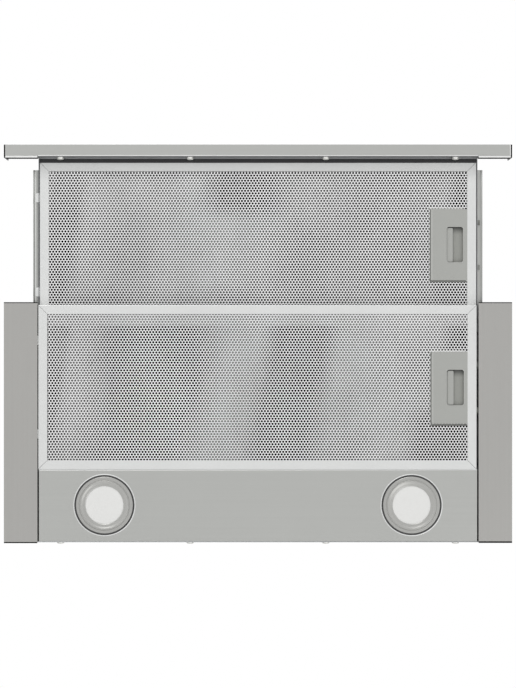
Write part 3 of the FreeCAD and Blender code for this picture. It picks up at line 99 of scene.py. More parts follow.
def settle(piece: Piece) -> Piece:
    """Apply an object's place, turn and scale to its mesh.

    Args:
        piece: The object to settle.

    Returns:
        The same object, now at the origin.
    """
    take_up(piece)
    bpy.ops.object.transform_apply(location=True, rotation=True, scale=True)
    return piece


def just_added(name: str) -> Piece:
    """Name the primitive that was just added, settle it and return it."""
    piece = bpy.context.active_object
    piece.name = name
    return settle(piece)


@contextmanager
def editing(piece: Piece, kind: str = "EDGE") -> Iterator[None]:
    """Open a piece in edit mode with nothing selected, and close it again.

    Args:
        piece: The object to edit.
        kind: The select mode, VERT, EDGE or FACE.
    """
    take_up(piece)
    bpy.ops.object.mode_set(mode="EDIT")
    bpy.ops.mesh.select_mode(type=kind)
    bpy.ops.mesh.select_all(action="DESELECT")
    yield
    bpy.ops.object.mode_set(mode="OBJECT")


def pick_vertices(piece: Piece, test: Callable[[Vector], bool]) -> None:
    """Select the vertices of an open piece whose place passes a test.

    Args:
        piece: The object in edit mode.
        test: Takes a vertex's place and says whether it is wanted.
    """
    mesh = bmesh.from_edit_mesh(piece.data)
    for vertex in mesh.verts:
        vertex.select_set(test(vertex.co))
    mesh.select_flush_mode()
    bmesh.update_edit_mesh(piece.data)


def pick_edges(piece: Piece, test: EdgeTest) -> None:
    """Select the edges of an open piece whose ends pass a test.

    Args:
        piece: The object in edit mode.
        test: Takes an edge's two ends and says whether it is wanted.
    """
    mesh = bmesh.from_edit_mesh(piece.data)
    for edge in mesh.edges:
        edge.select_set(test(edge.verts[0].co, edge.verts[1].co))
    bmesh.update_edit_mesh(piece.data)


def pick_faces(piece: Piece, test: Callable[[Vector, Vector], bool]) -> None:
    """Select the faces of an open piece whose middle and normal pass a test.

    Args:
        piece: The object in edit mode.
        test: Takes a face's middle and its normal and says whether it is wanted.
    """
    mesh = bmesh.from_edit_mesh(piece.data)
    for face in mesh.faces:
        face.select_set(test(face.calc_center_median(), face.normal))
    bmesh.update_edit_mesh(piece.data)


def block(name: str, x: Span, y: Span, z: Span) -> Piece:
    """Add a rectangular block between millimetre bounds.

    Args:
        name: The new object's name.
        x: Lowest and highest X in millimetres.
        y: Lowest and highest Y in millimetres.
        z: Lowest and highest Z in millimetres.

    Returns:
        The block, settled at the origin.
    """
    put_down()
    centre = metres(sum(x) / 2, sum(y) / 2, sum(z) / 2)
    size = metres(x[1] - x[0], y[1] - y[0], z[1] - z[0])
    bpy.ops.mesh.primitive_cube_add(size=1.0, location=centre, scale=size)
    return just_added(name)


def grid(name: str, columns: int, rows: int, centre: Place, size: Span) -> Piece:
    """Add a flat grid.

    Args:
        name: The new object's name.
        columns: Its squares along X.
        rows: Its squares along Y.
        centre: Its middle in millimetres.
        size: Its width and depth in millimetres.

    Returns:
        The grid, settled at the origin.
    """
    put_down()
    bpy.ops.mesh.primitive_grid_add(
        x_subdivisions=columns, y_subdivisions=rows, size=1.0, location=metres(*centre)
    )
    bpy.context.active_object.scale = (size[0] * MM, size[1] * MM, 1.0)
    return just_added(name)


def round_edges(piece: Piece, width: float, test: EdgeTest, steps: int = 2) -> None:
    """Bevel the edges of a piece that pass a test.

    Args:
        piece: The object to work on.
        width: The bevel's width in millimetres.
        test: Takes an edge's two ends in metres.
        steps: The number of segments.
    """
    with editing(piece, "EDGE"):
        pick_edges(piece, test)
        bpy.ops.mesh.bevel(offset=width * MM, segments=steps, affect="EDGES", profile=0.5)


def any_edge(_start: Vector, _end: Vector) -> bool:
    """Pass every edge."""
    return True


def upright(start: Vector, end: Vector) -> bool:
    """Pass an edge that runs along Z."""
    return abs(start.z - end.z) > TINY and (start.xy - end.xy).length < TINY


def bar_of(name: str, x: Span, y: Span, z: Span, edge: float) -> Piece:
    """Model a strip between millimetre bounds with all its edges rounded.

    Args:
        name: The new object's name.
        x: Its ends along X, in any order.
        y: Lowest and highest Y.
        z: Lowest and highest Z.
        edge: The width of the rounding.

    Returns:
        The strip.
    """
    piece = block(name, tuple(sorted(x)), y, z)
    round_edges(piece, edge, any_edge)
    return piece


def cut_away(piece: Piece, tool: Piece) -> None:
    """Cut a tool's shape out of a piece and throw the tool away."""
    modifier = piece.modifiers.new("cut", "BOOLEAN")
    modifier.operation = "DIFFERENCE"
    modifier.solver = "EXACT"
    modifier.object = tool
    take_up(piece)
    bpy.ops.object.modifier_apply(modifier=modifier.name)
    bpy.data.objects.remove(tool)


def apply_modifier(piece: Piece, kind: str, **settings: Any) -> None:
    """Add a modifier with its settings and apply it.

    Args:
        piece: The object that gets it.
        kind: The modifier's type.
        settings: Its attributes by name.
    """
    modifier = piece.modifiers.new(kind.lower(), kind)
    for name, value in settings.items():
        setattr(modifier, name, value)
    take_up(piece)
    bpy.ops.object.modifier_apply(modifier=modifier.name)


def smooth(piece: Piece, degrees: float = 35.0) -> Piece:
    """Shade a piece smooth over edges flatter than an angle.

    Args:
        piece: The object to shade.
        degrees: The angle above which an edge stays sharp.

    Returns:
        The same object.
    """
    take_up(piece)
    bpy.ops.object.shade_smooth_by_angle(angle=math.radians(degrees))
    return piece


def lathe(name: str, profile: Sequence[Span], sides: int = 64, solid: bool = False) -> Piece:
    """Turn a section about the Z axis by extruding and resizing a circle.

    Args:
        name: The new object's name.
        profile: Radius and height pairs in millimetres.
        sides: The number of sides of the circle.
        solid: True for a plug with both ends filled, False for a ring whose section closes on itself.

    Returns:
        The turned piece, at the origin.
    """
    put_down()
    radius, height = profile[0]
    fill = "NGON" if solid else "NOTHING"
    bpy.ops.mesh.primitive_circle_add(
        vertices=sides, radius=radius * MM, fill_type=fill, location=(0.0, 0.0, height * MM)
    )
    piece = just_added(name)
    following = [*profile[1:]] if solid else [*profile[1:], profile[0]]
    with editing(piece, "FACE" if solid else "EDGE"):
        bpy.ops.mesh.select_all(action="SELECT")
        for next_radius, next_height in following:
            rise = (0.0, 0.0, (next_height - height) * MM)
            bpy.ops.mesh.extrude_region_move(TRANSFORM_OT_translate={"value": rise})
            share = next_radius / radius
            centre = (0.0, 0.0, next_height * MM)
            bpy.ops.transform.resize(value=(share, share, 1.0), center_override=centre)
            radius, height = next_radius, next_height
        bpy.ops.mesh.select_all(action="SELECT")
        bpy.ops.mesh.remove_doubles(threshold=LATHE_WELD * MM)
        bpy.ops.mesh.normals_make_consistent(inside=False)
    return piece


def stood(piece: Piece, place: Place, turn: Place = ORIGIN) -> Piece:
    """Turn and move a piece made about the origin to its place.

    Args:
        piece: The object to place.
        place: Where its origin goes, in millimetres.
        turn: Its turn about X, Y and Z in degrees.

    Returns:
        The same object, settled.
    """
    piece.rotation_euler = tuple(math.radians(angle) for angle in turn)
    piece.location = metres(*place)
    return settle(piece)


def copied(piece: Piece, name: str, shift: Place = ORIGIN) -> Piece:
    """Copy a piece with its own mesh and move the copy.

    Args:
        piece: The settled object to copy.
        name: The copy's name.
        shift: How far it goes, in millimetres.

    Returns:
        The copy, settled.
    """
    twin = bpy.data.objects.new(name, piece.data.copy())
    bpy.context.scene.collection.objects.link(twin)
    twin.location = metres(*shift)
    return settle(twin)


def joined(name: str, pieces: Sequence[Piece]) -> Piece:
    """Join pieces into one object.

    Args:
        name: The name of the result.
        pieces: The objects to join.

    Returns:
        The joined object.
    """
    take_up(pieces[0])
    for piece in pieces:
        piece.select_set(True)
    if len(pieces) > 1:
        bpy.ops.object.join()
    pieces[0].name = name
    return pieces[0]


def repeated(first: Piece, name: str, places: Sequence[Place]) -> Piece:
    """Copy a piece to several places, join the copies and drop the first.

    Args:
        first: The piece, at the origin.
        name: The name of the result.
        places: How far each copy goes, in millimetres.

    Returns:
        The joined copies.
    """
    copies = [copied(first, name, place) for place in places]
    bpy.data.objects.remove(first)
    return joined(name, copies)


def raised(section: Sequence[Span], level: float) -> list[Span]:
    """Return a section of radius and height pairs with its heights counted from a level."""
    return [(radius, level + height) for radius, height in section]


def softened(name: str, node: str, width: float, steps: int = 2, degrees: float = 0.0) -> Piece:
    """Copy a CAD node and give its sharp edges the small radius of the made part.

    Args:
        name: The new object's name.
        node: The CAD node to copy.
        width: The radius in millimetres.
        steps: Segments of each rounded edge.
        degrees: Where above 0, shade smooth over edges flatter than this.

    Returns:
        The softened copy.
    """
    piece = bpy.data.objects.new(name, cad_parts[node].data.copy())
    bpy.context.scene.collection.objects.link(piece)
    with editing(piece, "VERT"):
        bpy.ops.mesh.select_all(action="SELECT")
        bpy.ops.mesh.remove_doubles(threshold=WELD * MM)
        bpy.ops.mesh.dissolve_limited(angle_limit=math.radians(FLAT_ANGLE))
    if width > 0:
        apply_modifier(
            piece,
            "BEVEL",
            width=width * MM,
            segments=steps,
            limit_method="ANGLE",
            angle_limit=math.radians(SHARP_ANGLE),
            use_clamp_overlap=True,
            loop_slide=False,
        )
    if degrees > 0:
        smooth(piece, degrees)
    return piece


def fit(piece: Piece, body: str, finish: Material, nodes: Sequence[str] = ()) -> None:
    """Give a finished piece its material and body, hide the CAD nodes that it stands for, and report it.

    Args:
        piece: The new piece.
        body: The CAD body that it rides on.
        finish: Its material.
        nodes: The CAD nodes that it stands for.
    """
    piece.data.materials.clear()
    piece.data.materials.append(finish)
    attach(piece, body)
    if nodes:
        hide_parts(*nodes)
    log.info("%s: %d faces on %s", piece.name, len(piece.data.polygons), body)


def stand_in(
    name: str, node: str, body: str, finish: Material, width: float, steps: int = 2
) -> None:
    """Replace a CAD node with a softened copy of it.

    Args:
        name: The new piece's name.
        node: The CAD node that it stands for.
        body: The CAD body that it rides on.
        finish: Its material.
        width: The radius of its edges in millimetres.
        steps: Segments of each rounded edge.
    """
    fit(softened(name, node, width, steps), body, finish, [node])


def dress(finish: Material, *nodes: str) -> None:
    """Give CAD nodes that stay as they are a finish.

    Args:
        finish: The material.
        nodes: The names of the nodes.
    """
    for name in nodes:
        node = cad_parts[name]
        if not node.material_slots:
            node.data.materials.append(finish)
        for slot in node.material_slots:
            slot.material = finish
        log.info("%s: finish %s", name, finish.name)


# ---------------------------------------------------------------- shader maths


class Number:
    """A number that varies over a surface, with arithmetic that adds Math nodes."""

    def __init__(self, shop: "Shader", socket: Socket) -> None:
        """Wrap a socket of a shader's tree."""
        self.shop = shop
        self.socket = socket

    def through(self, operation: str, *others: "Number | float") -> "Number":
        """Return this number put through a Math node, with others as its further inputs."""
        return self.shop.maths(operation, self, *others)

    def __add__(self, other: "Number | float") -> "Number":
        """Return the sum."""
        return self.through("ADD", other)

    def __radd__(self, other: float) -> "Number":
        """Return the sum with a plain number on the left."""
        return self.through("ADD", other)

    def __sub__(self, other: "Number | float") -> "Number":
        """Return the difference."""
        return self.through("SUBTRACT", other)

    def __rsub__(self, other: float) -> "Number":
        """Return a plain number less this one."""
        return self.shop.maths("SUBTRACT", other, self)

    def __mul__(self, other: "Number | float") -> "Number":
        """Return the product."""
        return self.through("MULTIPLY", other)

    def __rmul__(self, other: float) -> "Number":
        """Return the product with a plain number on the left."""
        return self.through("MULTIPLY", other)

    def power(self, exponent: float) -> "Number":
        """Return this number raised to a power."""
        return self.through("POWER", exponent)

    def fraction(self) -> "Number":
        """Return the part after the decimal point."""
        return self.through("FRACT")

    def clamped(self) -> "Number":
        """Return this number kept between 0 and 1."""
        return self.through("MAXIMUM", 0.0).through("MINIMUM", 1.0)

    def step(self, low: float, high: float) -> "Number":
        """Return 0 below low, 1 above high and a ramp between."""
        return ((self - low) * (1.0 / (high - low))).clamped()


class Shader:
    """The node tree of one material, or of the world, built from expressions."""

    def __init__(self, name: str, is_world: bool = False) -> None:
        """Start an empty material or world with that name."""
        self.owner = (bpy.data.worlds if is_world else bpy.data.materials).new(name)
        self.owner.use_nodes = True
        self.tree = self.owner.node_tree
        self.tree.nodes.clear()
        self._place: Socket | None = None

    def node(self, kind: str, settings: Settings = None, inputs: dict[Any, Any] | None = None) -> Any:
        """Add a node.

        Args:
            kind: The node's type.
            settings: Its attributes, with "stops" for a ramp's (position, colour) pairs; set first.
            inputs: Values or links of its sockets, by name or number.

        Returns:
            The node.
        """
        node = self.tree.nodes.new(kind)
        for name, value in (settings or {}).items():
            if name == "stops":
                self._set_stops(node, value)
            else:
                setattr(node, name, value)
        for name, value in (inputs or {}).items():
            socket = node.inputs[name]
            source = value.socket if isinstance(value, Number) else value
            if isinstance(source, Socket):
                self.tree.links.new(source, socket)
            else:
                socket.default_value = source
        return node

    @staticmethod
    def _set_stops(node: Any, stops: Sequence[tuple[float, Colour]]) -> None:
        """Set a colour ramp's two stops from (position, colour) pairs."""
        for element, (position, colour) in zip(node.color_ramp.elements, stops):
            element.position = position
            element.color = four(colour)

    def maths(self, operation: str, *values: "Number | float") -> Number:
        """Return the result of a Math node."""
        inputs = dict(enumerate(values))
        return Number(self, self.node("ShaderNodeMath", {"operation": operation}, inputs).outputs[0])

    def place(self) -> Socket:
        """Return the object coordinates, in metres."""
        if self._place is None:
            self._place = self.node("ShaderNodeTexCoord").outputs["Object"]
        return self._place

    def stretched(self, scale: Place, turn: Place = ORIGIN, shift: Place = ORIGIN) -> Socket:
        """Return object coordinates moved, turned and scaled by a Mapping node."""
        values = {"Vector": self.place(), "Scale": scale, "Rotation": turn, "Location": shift}
        return self.node("ShaderNodeMapping", {"vector_type": "POINT"}, values).outputs[0]

    def noise(
        self,
        scale: Place | float,
        detail: float = 2.0,
        roughness: float = 0.5,
        shift: Place = ORIGIN,
    ) -> Number:
        """Return smooth noise between 0 and 1.

        Args:
            scale: Cycles per metre, alike or along each axis.
            detail: Octaves of finer noise.
            roughness: How strong the finer octaves are.
            shift: Moves the pattern.

        Returns:
            The noise as a number.
        """
        each = scale if isinstance(scale, tuple) else (scale, scale, scale)
        place = self.stretched(each, shift=shift)
        values = {"Vector": place, "Scale": 1.0, "Detail": detail, "Roughness": roughness}
        node = self.node("ShaderNodeTexNoise", {"noise_dimensions": "3D"}, values)
        return Number(self, node.outputs[0])

    def crystals(self, scale: float) -> Number:
        """Return a flat value between 0 and 1 for each cell of a pattern, in cells per metre."""
        values = {"Vector": self.place(), "Scale": scale}
        node = self.node("ShaderNodeTexVoronoi", {"feature": "F1"}, values)
        return self.part(node.outputs["Color"], "X")

    def part(self, vector: Socket, name: str) -> Number:
        """Return the X, Y or Z of a vector."""
        return Number(self, self.node("ShaderNodeSeparateXYZ", None, {0: vector}).outputs[name])

    def axis(self, name: str) -> Number:
        """Return one object coordinate, X, Y or Z, in millimetres."""
        return self.part(self.place(), name) * 1000.0

    def mixed(self, share: "Number | float", low: Any, high: Any) -> Socket:
        """Return a colour between two colours or links."""
        first, second = (four(value) if isinstance(value, tuple) else value for value in (low, high))
        values = {0: share, 6: first, 7: second}
        settings = {"data_type": "RGBA", "blend_type": "MIX", "clamp_factor": True}
        return self.node("ShaderNodeMix", settings, values).outputs[2]

    def shaded(self, colour: Colour, share: Number) -> Socket:
        """Return a colour made darker or lighter by a number about 1."""
        grey = self.node("ShaderNodeCombineXYZ", None, {0: share, 1: share, 2: share}).outputs[0]
        settings = {"operation": "MULTIPLY"}
        return self.node("ShaderNodeVectorMath", settings, {0: grey, 1: colour}).outputs[0]

    def bump(self, height: Number, depth: float, strength: float = 1.0) -> Socket:
        """Return a normal bent by a height.

        Args:
            height: A number between 0 and 1.
            depth: The height of 1, in millimetres.
            strength: How much of it counts.

        Returns:
            The normal's socket.
        """
        values = {"Height": height, "Distance": depth * MM, "Strength": strength}
        return self.node("ShaderNodeBump", None, values).outputs[0]

    def finish(self, **inputs: Any) -> Material:
        """Close the tree with a Principled shader.

        Args:
            inputs: Values or links, with spaces in the socket's name written as underscores.

        Returns:
            The material.
        """
        values = {name.replace("_", " "): value for name, value in inputs.items()}
        shader = self.node("ShaderNodeBsdfPrincipled", None, values)
        self.node("ShaderNodeOutputMaterial", None, {"Surface": shader.outputs[0]})
        return self.owner


def four(colour: Sequence[float]) -> tuple[float, float, float, float]:
    """Return a colour with full alpha."""
    return (colour[0], colour[1], colour[2], 1.0)


def tone(red: float, green: float | None = None, blue: float | None = None) -> Colour:
    """Return a display colour of 0 to 255 as a linear one; one value alone is a grey."""
    values = (red, red if green is None else green, red if blue is None else blue)
    return tuple((value / 255.0) ** 2.2 for value in values)


# ---------------------------------------------------------------- finishes


class Grain(Enum):
    """The way that a brushed sheet was brushed, as cycles per metre along X, Y and Z."""

    ALONG_X = (14.0, 1500.0, 1500.0)
    ALONG_Y = (1500.0, 14.0, 1500.0)


@dataclass(frozen=True)
class BrushedSheet:
    """Brushed stainless sheet with fine strokes, faint clouding and a few handling marks."""

    name: str
    colour: Colour
    grain: Grain
    roughness: float = 0.34
    stroke: float = 0.05
    cloud: float = 0.05

    def build(self) -> Material:
        """Return the material."""
        shop = Shader(self.name)
        strokes = shop.noise(self.grain.value, 3.0, 0.6)
        wide = shop.noise(tuple(value * 0.2 for value in self.grain.value))
        clouds = shop.noise(7.0)
        smears = shop.noise(26.0, 4.0, 0.6).step(0.58, 0.8)
        brushing = (strokes - 0.5) * self.stroke + (wide - 0.5) * self.stroke
        light = 1.0 + brushing + (clouds - 0.5) * self.cloud
        rough = self.roughness + (strokes - 0.5) * 0.10 + smears * 0.06
        return shop.finish(
            Base_Color=shop.shaded(self.colour, light),
            Metallic=1.0,
            Roughness=rough,
            Normal=shop.bump(strokes, 0.02, 0.35),
        )


@dataclass(frozen=True)
class RolledAluminium:
    """Rolled aluminium strip with a satin surface, soft clouding and small scratches.

    It can be darkened with painted shade in front of a line, given by its Y in millimetres, with a fade
    behind it.
    """

    name: str
    colour: Colour
    roughness: float = 0.42
    cloud: float = 0.08
    shade_from_y: float = 0.0
    darkened: float = 0.0
    shade_fade: Span = (-2.0, 12.0)

    def build(self) -> Material:
        """Return the material."""
        shop = Shader(self.name)
        clouds = shop.noise(18.0, 3.0, 0.55)
        fine = shop.noise(420.0)
        scratches = shop.noise((90.0, 1400.0, 1400.0)).step(0.66, 0.74)
        light = 1.0 + (clouds - 0.5) * self.cloud + (fine - 0.5) * 0.05 - scratches * 0.05
        # Painted shade: darker in front of the line.
        if self.darkened:
            behind = (shop.axis("Y") - self.shade_from_y).step(*self.shade_fade)
            light = light - (1.0 - behind) * self.darkened
        return shop.finish(
            Base_Color=shop.shaded(self.colour, light),
            Metallic=0.85,
            Roughness=self.roughness + (clouds - 0.5) * 0.12,
            Normal=shop.bump(fine, 0.02, 0.3),
        )


@dataclass(frozen=True)
class PunchedSheet:
    """Bright aluminium of the punched filter sheet, with soft zones where it was handled."""

    name: str
    bright: Colour
    darkened: Colour

    def build(self) -> Material:
        """Return the material."""
        shop = Shader(self.name)
        zones = shop.noise((9.0, 5.0, 5.0)).step(0.35, 0.68)
        specks = shop.noise(260.0, 2.0, 0.6)
        glints = specks.step(0.62, 0.78)
        share = (zones * 0.75 + glints * 0.35).clamped()
        return shop.finish(
            Base_Color=shop.mixed(share, self.darkened, self.bright),
            Metallic=0.7,
            Roughness=0.5 - glints * 0.15,
            Normal=shop.bump(specks, 0.05, 0.4),
        )


@dataclass(frozen=True)
class ShadeZone:
    """A soft zone of painted shade, where the mesh lies open onto the dark inside. Lengths in
    millimetres from the filter's middle.
    """

    x: float
    y: float
    reach_x: float
    reach_y: float
    depth: float


# Zones of painted shade on each filter's mesh.
FRONT_SHADE_ZONES = (
    ShadeZone(-25.0, -80.0, 62.0, 52.0, 0.95),
    ShadeZone(-236.0, 0.0, 30.0, 200.0, 0.8),
    ShadeZone(0.0, -92.0, 400.0, 16.0, 0.6),
    ShadeZone(0.0, 90.0, 400.0, 46.0, 0.55),
    ShadeZone(238.0, -62.0, 26.0, 60.0, 0.95),
    ShadeZone(238.0, 62.0, 30.0, 60.0, 0.9),
    ShadeZone(70.0, 40.0, 80.0, 80.0, 0.5),
    ShadeZone(135.0, -10.0, 75.0, 120.0, 0.45),
)
REAR_SHADE_ZONES = (
    ShadeZone(-128.0, 10.0, 84.0, 120.0, 1.0),
    ShadeZone(40.0, 10.0, 50.0, 120.0, 1.0),
    ShadeZone(236.0, -62.0, 34.0, 40.0, 0.9),
    ShadeZone(230.0, 66.0, 52.0, 44.0, 0.98),
    ShadeZone(-244.0, 30.0, 18.0, 160.0, 0.7),
)


@dataclass(frozen=True)
class ExpandedMesh:
    """Fine aluminium mesh behind the sheet, whose staggered openings drift against the sheet's own.

    Lengths are in millimetres. The black of its openings and its dark zones are painted shade of the
    filter's inside. From z_upper on, the mesh is the upper sheet and has no dark zones.
    """

    name: str
    wire: Colour
    opening: Colour
    y_middle: float
    zones: tuple[ShadeZone, ...] = ()
    pale: float = 0.0
    slant: float = 0.16
    pitch: Span = (3.66, 3.05)
    radius: float = 1.0
    turn: float = 0.45
    z_upper: float = 100.0
    shaded_ends: Span = (222.0, 250.0)
    backed_from: Span = (-88.0, -85.5)
    backed_to: Span = (-73.5, -71.5)

    def _distance(self, shop: Shader, offset: float) -> Number:
        """Return the distance in millimetres to the nearest opening of one straight lattice."""
        wobble = shop.noise(7.0, 1.0, 0.5) * 1.9
        turned = shop.stretched((1.0, 1.0, 1.0), (0.0, 0.0, math.radians(self.turn)))
        start = 100.0 + offset
        across = shop.part(turned, "X") * (1000.0 / self.pitch[0]) + wobble * 0.35 + start
        along = shop.part(turned, "Y") * (500.0 / self.pitch[1]) + wobble * 0.2 + start
        dx = (across.fraction() - 0.5) * self.pitch[0]
        dy = (along.fraction() - 0.5) * (2 * self.pitch[1])
        return (dx * dx + dy * dy).power(0.5)

    def _painted_shade(self, shop: Shader) -> Number:
        """Return the painted shade of the layers: the named zones, the filter's ends and a loose drift.
        """
        across = shop.axis("X")
        along = shop.axis("Y") - self.y_middle
        slanted = across + along * self.slant
        dark = across.through("ABSOLUTE").step(*self.shaded_ends) * 0.55
        for zone in self.zones:
            off_x = ((slanted - zone.x) * (1.0 / zone.reach_x)).through("ABSOLUTE")
            off_y = ((along - zone.y) * (1.0 / zone.reach_y)).through("ABSOLUTE")
            inside = (1.0 - off_x).step(0.0, 0.55) * (1.0 - off_y).step(0.0, 0.4)
            dark = dark.through("MAXIMUM", inside * zone.depth)
        drift = shop.noise((16.0, 10.0, 10.0), 2.0, 0.55, (0.4, 0.2, 0.0)).step(0.34, 0.7)
        return (dark + drift * 0.35).clamped()

    def build(self) -> Material:
        """Return the material."""
        shop = Shader(self.name)
        nearest = self._distance(shop, 0.0).through("MINIMUM", self._distance(shop, 0.5))
        solid = nearest.step(self.radius - 0.35, self.radius + 0.35)
        deep = shop.noise(40.0, 3.0, 0.6)
        upper = shop.axis("Z").step(self.z_upper - 0.6, self.z_upper - 0.2)
        # Painted shade: the zones and ends darken the mesh, and the openings mix towards black.
        unshaded_share = (1.0 - self._painted_shade(shop)).through("MAXIMUM", upper * 0.9)
        share = ((0.25 + solid * 0.75) * unshaded_share * (0.7 + deep * 0.6)).clamped()
        along = shop.axis("Y") - self.y_middle
        backed = along.step(*self.backed_from) * (1.0 - along.step(*self.backed_to)) * self.pale
        share = share.through("MAXIMUM", backed * (0.75 + solid * 0.25))
        return shop.finish(
            Base_Color=shop.mixed(share, self.opening, self.wire),
            Metallic=0.0,
            Roughness=0.8,
            Specular_IOR_Level=0.0,
            Normal=shop.bump(solid, 0.3, 0.3),
        )


@dataclass(frozen=True)
class RolledRail:
    """Zinc-plated slide rail whose track shows as a dark line, partly grease and partly painted shade of
    the groove; its inner half and the edge by its root are darkened as painted shade. Lengths in
    millimetres.
    """

    name: str
    colour: Colour
    grease_and_shade: Colour
    track: Span = (264.9, 266.0)
    root: float = 262.0
    depth: float = 0.75
    shade: float = 0.7

    def build(self) -> Material:
        """Return the material."""
        shop = Shader(self.name)
        across = shop.axis("X").through("ABSOLUTE")
        lines = shop.noise((900.0, 12.0, 900.0))
        stains = shop.noise(34.0, 3.0, 0.6)
        # Painted shade: the track line, also standing for grease, the darker inner half and the darker
        # edge by the root.
        low, high = self.track
        in_track = across.step(low - 0.2, low) * (1.0 - across.step(high, high + 0.2))
        inner_half = (1.0 - across.step(self.root + 0.4, self.root + 2.4)) * 0.4
        near_root = (1.0 - across.step(self.root - 1.4, self.root - 0.4)) * self.shade
        wear = (stains - 0.5) * 0.12 + (lines - 0.5) * 0.06
        darkened = (in_track * self.depth + inner_half + near_root + wear).clamped()
        return shop.finish(
            Base_Color=shop.mixed(darkened, self.colour, self.grease_and_shade),
            Metallic=0.9,
            Roughness=0.32 + (stains - 0.5) * 0.14,
            Normal=shop.bump(lines, 0.01, 0.25),
        )


@dataclass(frozen=True)
class RecessPlastic:
    """Grey plastic of the slider, with a painted shadow darkening it towards the window's front end.
    Lengths in millimetres.
    """

    name: str
    colour: Colour
    painted_shadow: Colour
    y_edge: float
    fade: float = 9.0

    def build(self) -> Material:
        """Return the material."""
        shop = Shader(self.name)
        along = shop.axis("Y")
        grain = shop.noise(1700.0, 2.0, 0.6)
        flow = shop.noise(60.0)
        # Painted shadow: darker towards the window's front end, with a loose edge.
        away = (along - self.y_edge).through("ABSOLUTE")
        out_of_shadow = (away * (1.0 / self.fade) + (flow - 0.5) * 0.2).clamped()
        return shop.finish(
            Base_Color=shop.mixed(out_of_shadow, self.painted_shadow, self.colour),
            Metallic=0.0,
            Roughness=0.5 + (grain - 0.5) * 0.16,
            Normal=shop.bump(grain, 0.03, 0.5),
        )


@dataclass(frozen=True)
class Galvanised:
    """Hot-dip galvanised sheet with its spangle of flat zinc crystals."""

    name: str
    colour: Colour
    spangle: float = 0.12
    roughness: float = 0.38

    def build(self) -> Material:
        """Return the material."""
        shop = Shader(self.name)
        crystal = shop.crystals(120.0)
        feather = shop.noise((300.0, 40.0, 120.0), 3.0, 0.6)
        clouds = shop.noise(5.0)
        light = 1.0 + (crystal - 0.5) * self.spangle + (feather - 0.5) * 0.06 + (clouds - 0.5) * 0.06
        return shop.finish(
            Base_Color=shop.shaded(self.colour, light),
            Metallic=0.9,
            Roughness=self.roughness + (crystal - 0.5) * 0.16,
            Normal=shop.bump(feather, 0.02, 0.3),
        )


@dataclass(frozen=True)
class PlatedSteel:
    """Zinc-plated or hardened steel: bright, with fine drawn lines and slight staining."""

    name: str
    colour: Colour
    roughness: float = 0.3
    stain: float = 0.08

    def build(self) -> Material:
        """Return the material."""
        shop = Shader(self.name)
        lines = shop.noise((900.0, 12.0, 900.0))
        stains = shop.noise(34.0, 3.0, 0.6)
        light = 1.0 + (lines - 0.5) * 0.06 + (stains - 0.5) * self.stain
        return shop.finish(
            Base_Color=shop.shaded(self.colour, light),
            Metallic=0.95,
            Roughness=self.roughness + (stains - 0.5) * 0.14,
            Normal=shop.bump(lines, 0.01, 0.25),
        )


@dataclass(frozen=True)
class MouldedPlastic:
    """Injection-moulded plastic with a fine spark-eroded grain."""

    name: str
    colour: Colour
    roughness: float = 0.48
    grain: float = 0.03
    coat: float = 0.0
    gloss: float = 0.5

    def build(self) -> Material:
        """Return the material."""
        shop = Shader(self.name)
        grain = shop.noise(1700.0, 2.0, 0.6)
        flow = shop.noise(22.0)
        light = 1.0 + (flow - 0.5) * 0.07 + (grain - 0.5) * 0.08
        return shop.finish(
            Base_Color=shop.shaded(self.colour, light),
            Metallic=0.0,
            Roughness=self.roughness + (grain - 0.5) * 0.16,
            Coat_Weight=self.coat,
            Specular_IOR_Level=self.gloss,
            Normal=shop.bump(grain, self.grain, 0.5),
        )


@dataclass(frozen=True)
class FrostedLens:
    """Opal lamp lens: evenly frosted, with a faint glow."""

    name: str
    colour: Colour
    glow: float = 0.12

    def build(self) -> Material:
        """Return the material."""
        shop = Shader(self.name)
        frost = shop.noise(1300.0, 2.0, 0.6)
        clouds = shop.noise(40.0)
        light = 1.0 + (clouds - 0.5) * 0.03 + (frost - 0.5) * 0.04
        return shop.finish(
            Base_Color=shop.shaded(self.colour, light),
            Roughness=0.38,
            Metallic=0.0,
            Emission_Color=four(self.colour),
            Emission_Strength=self.glow,
            Normal=shop.bump(frost, 0.01, 0.3),
        )


def built(finish: Any) -> Any:
    """Return a dataclass field whose value is a finish's material."""
    return field(default_factory=finish.build)


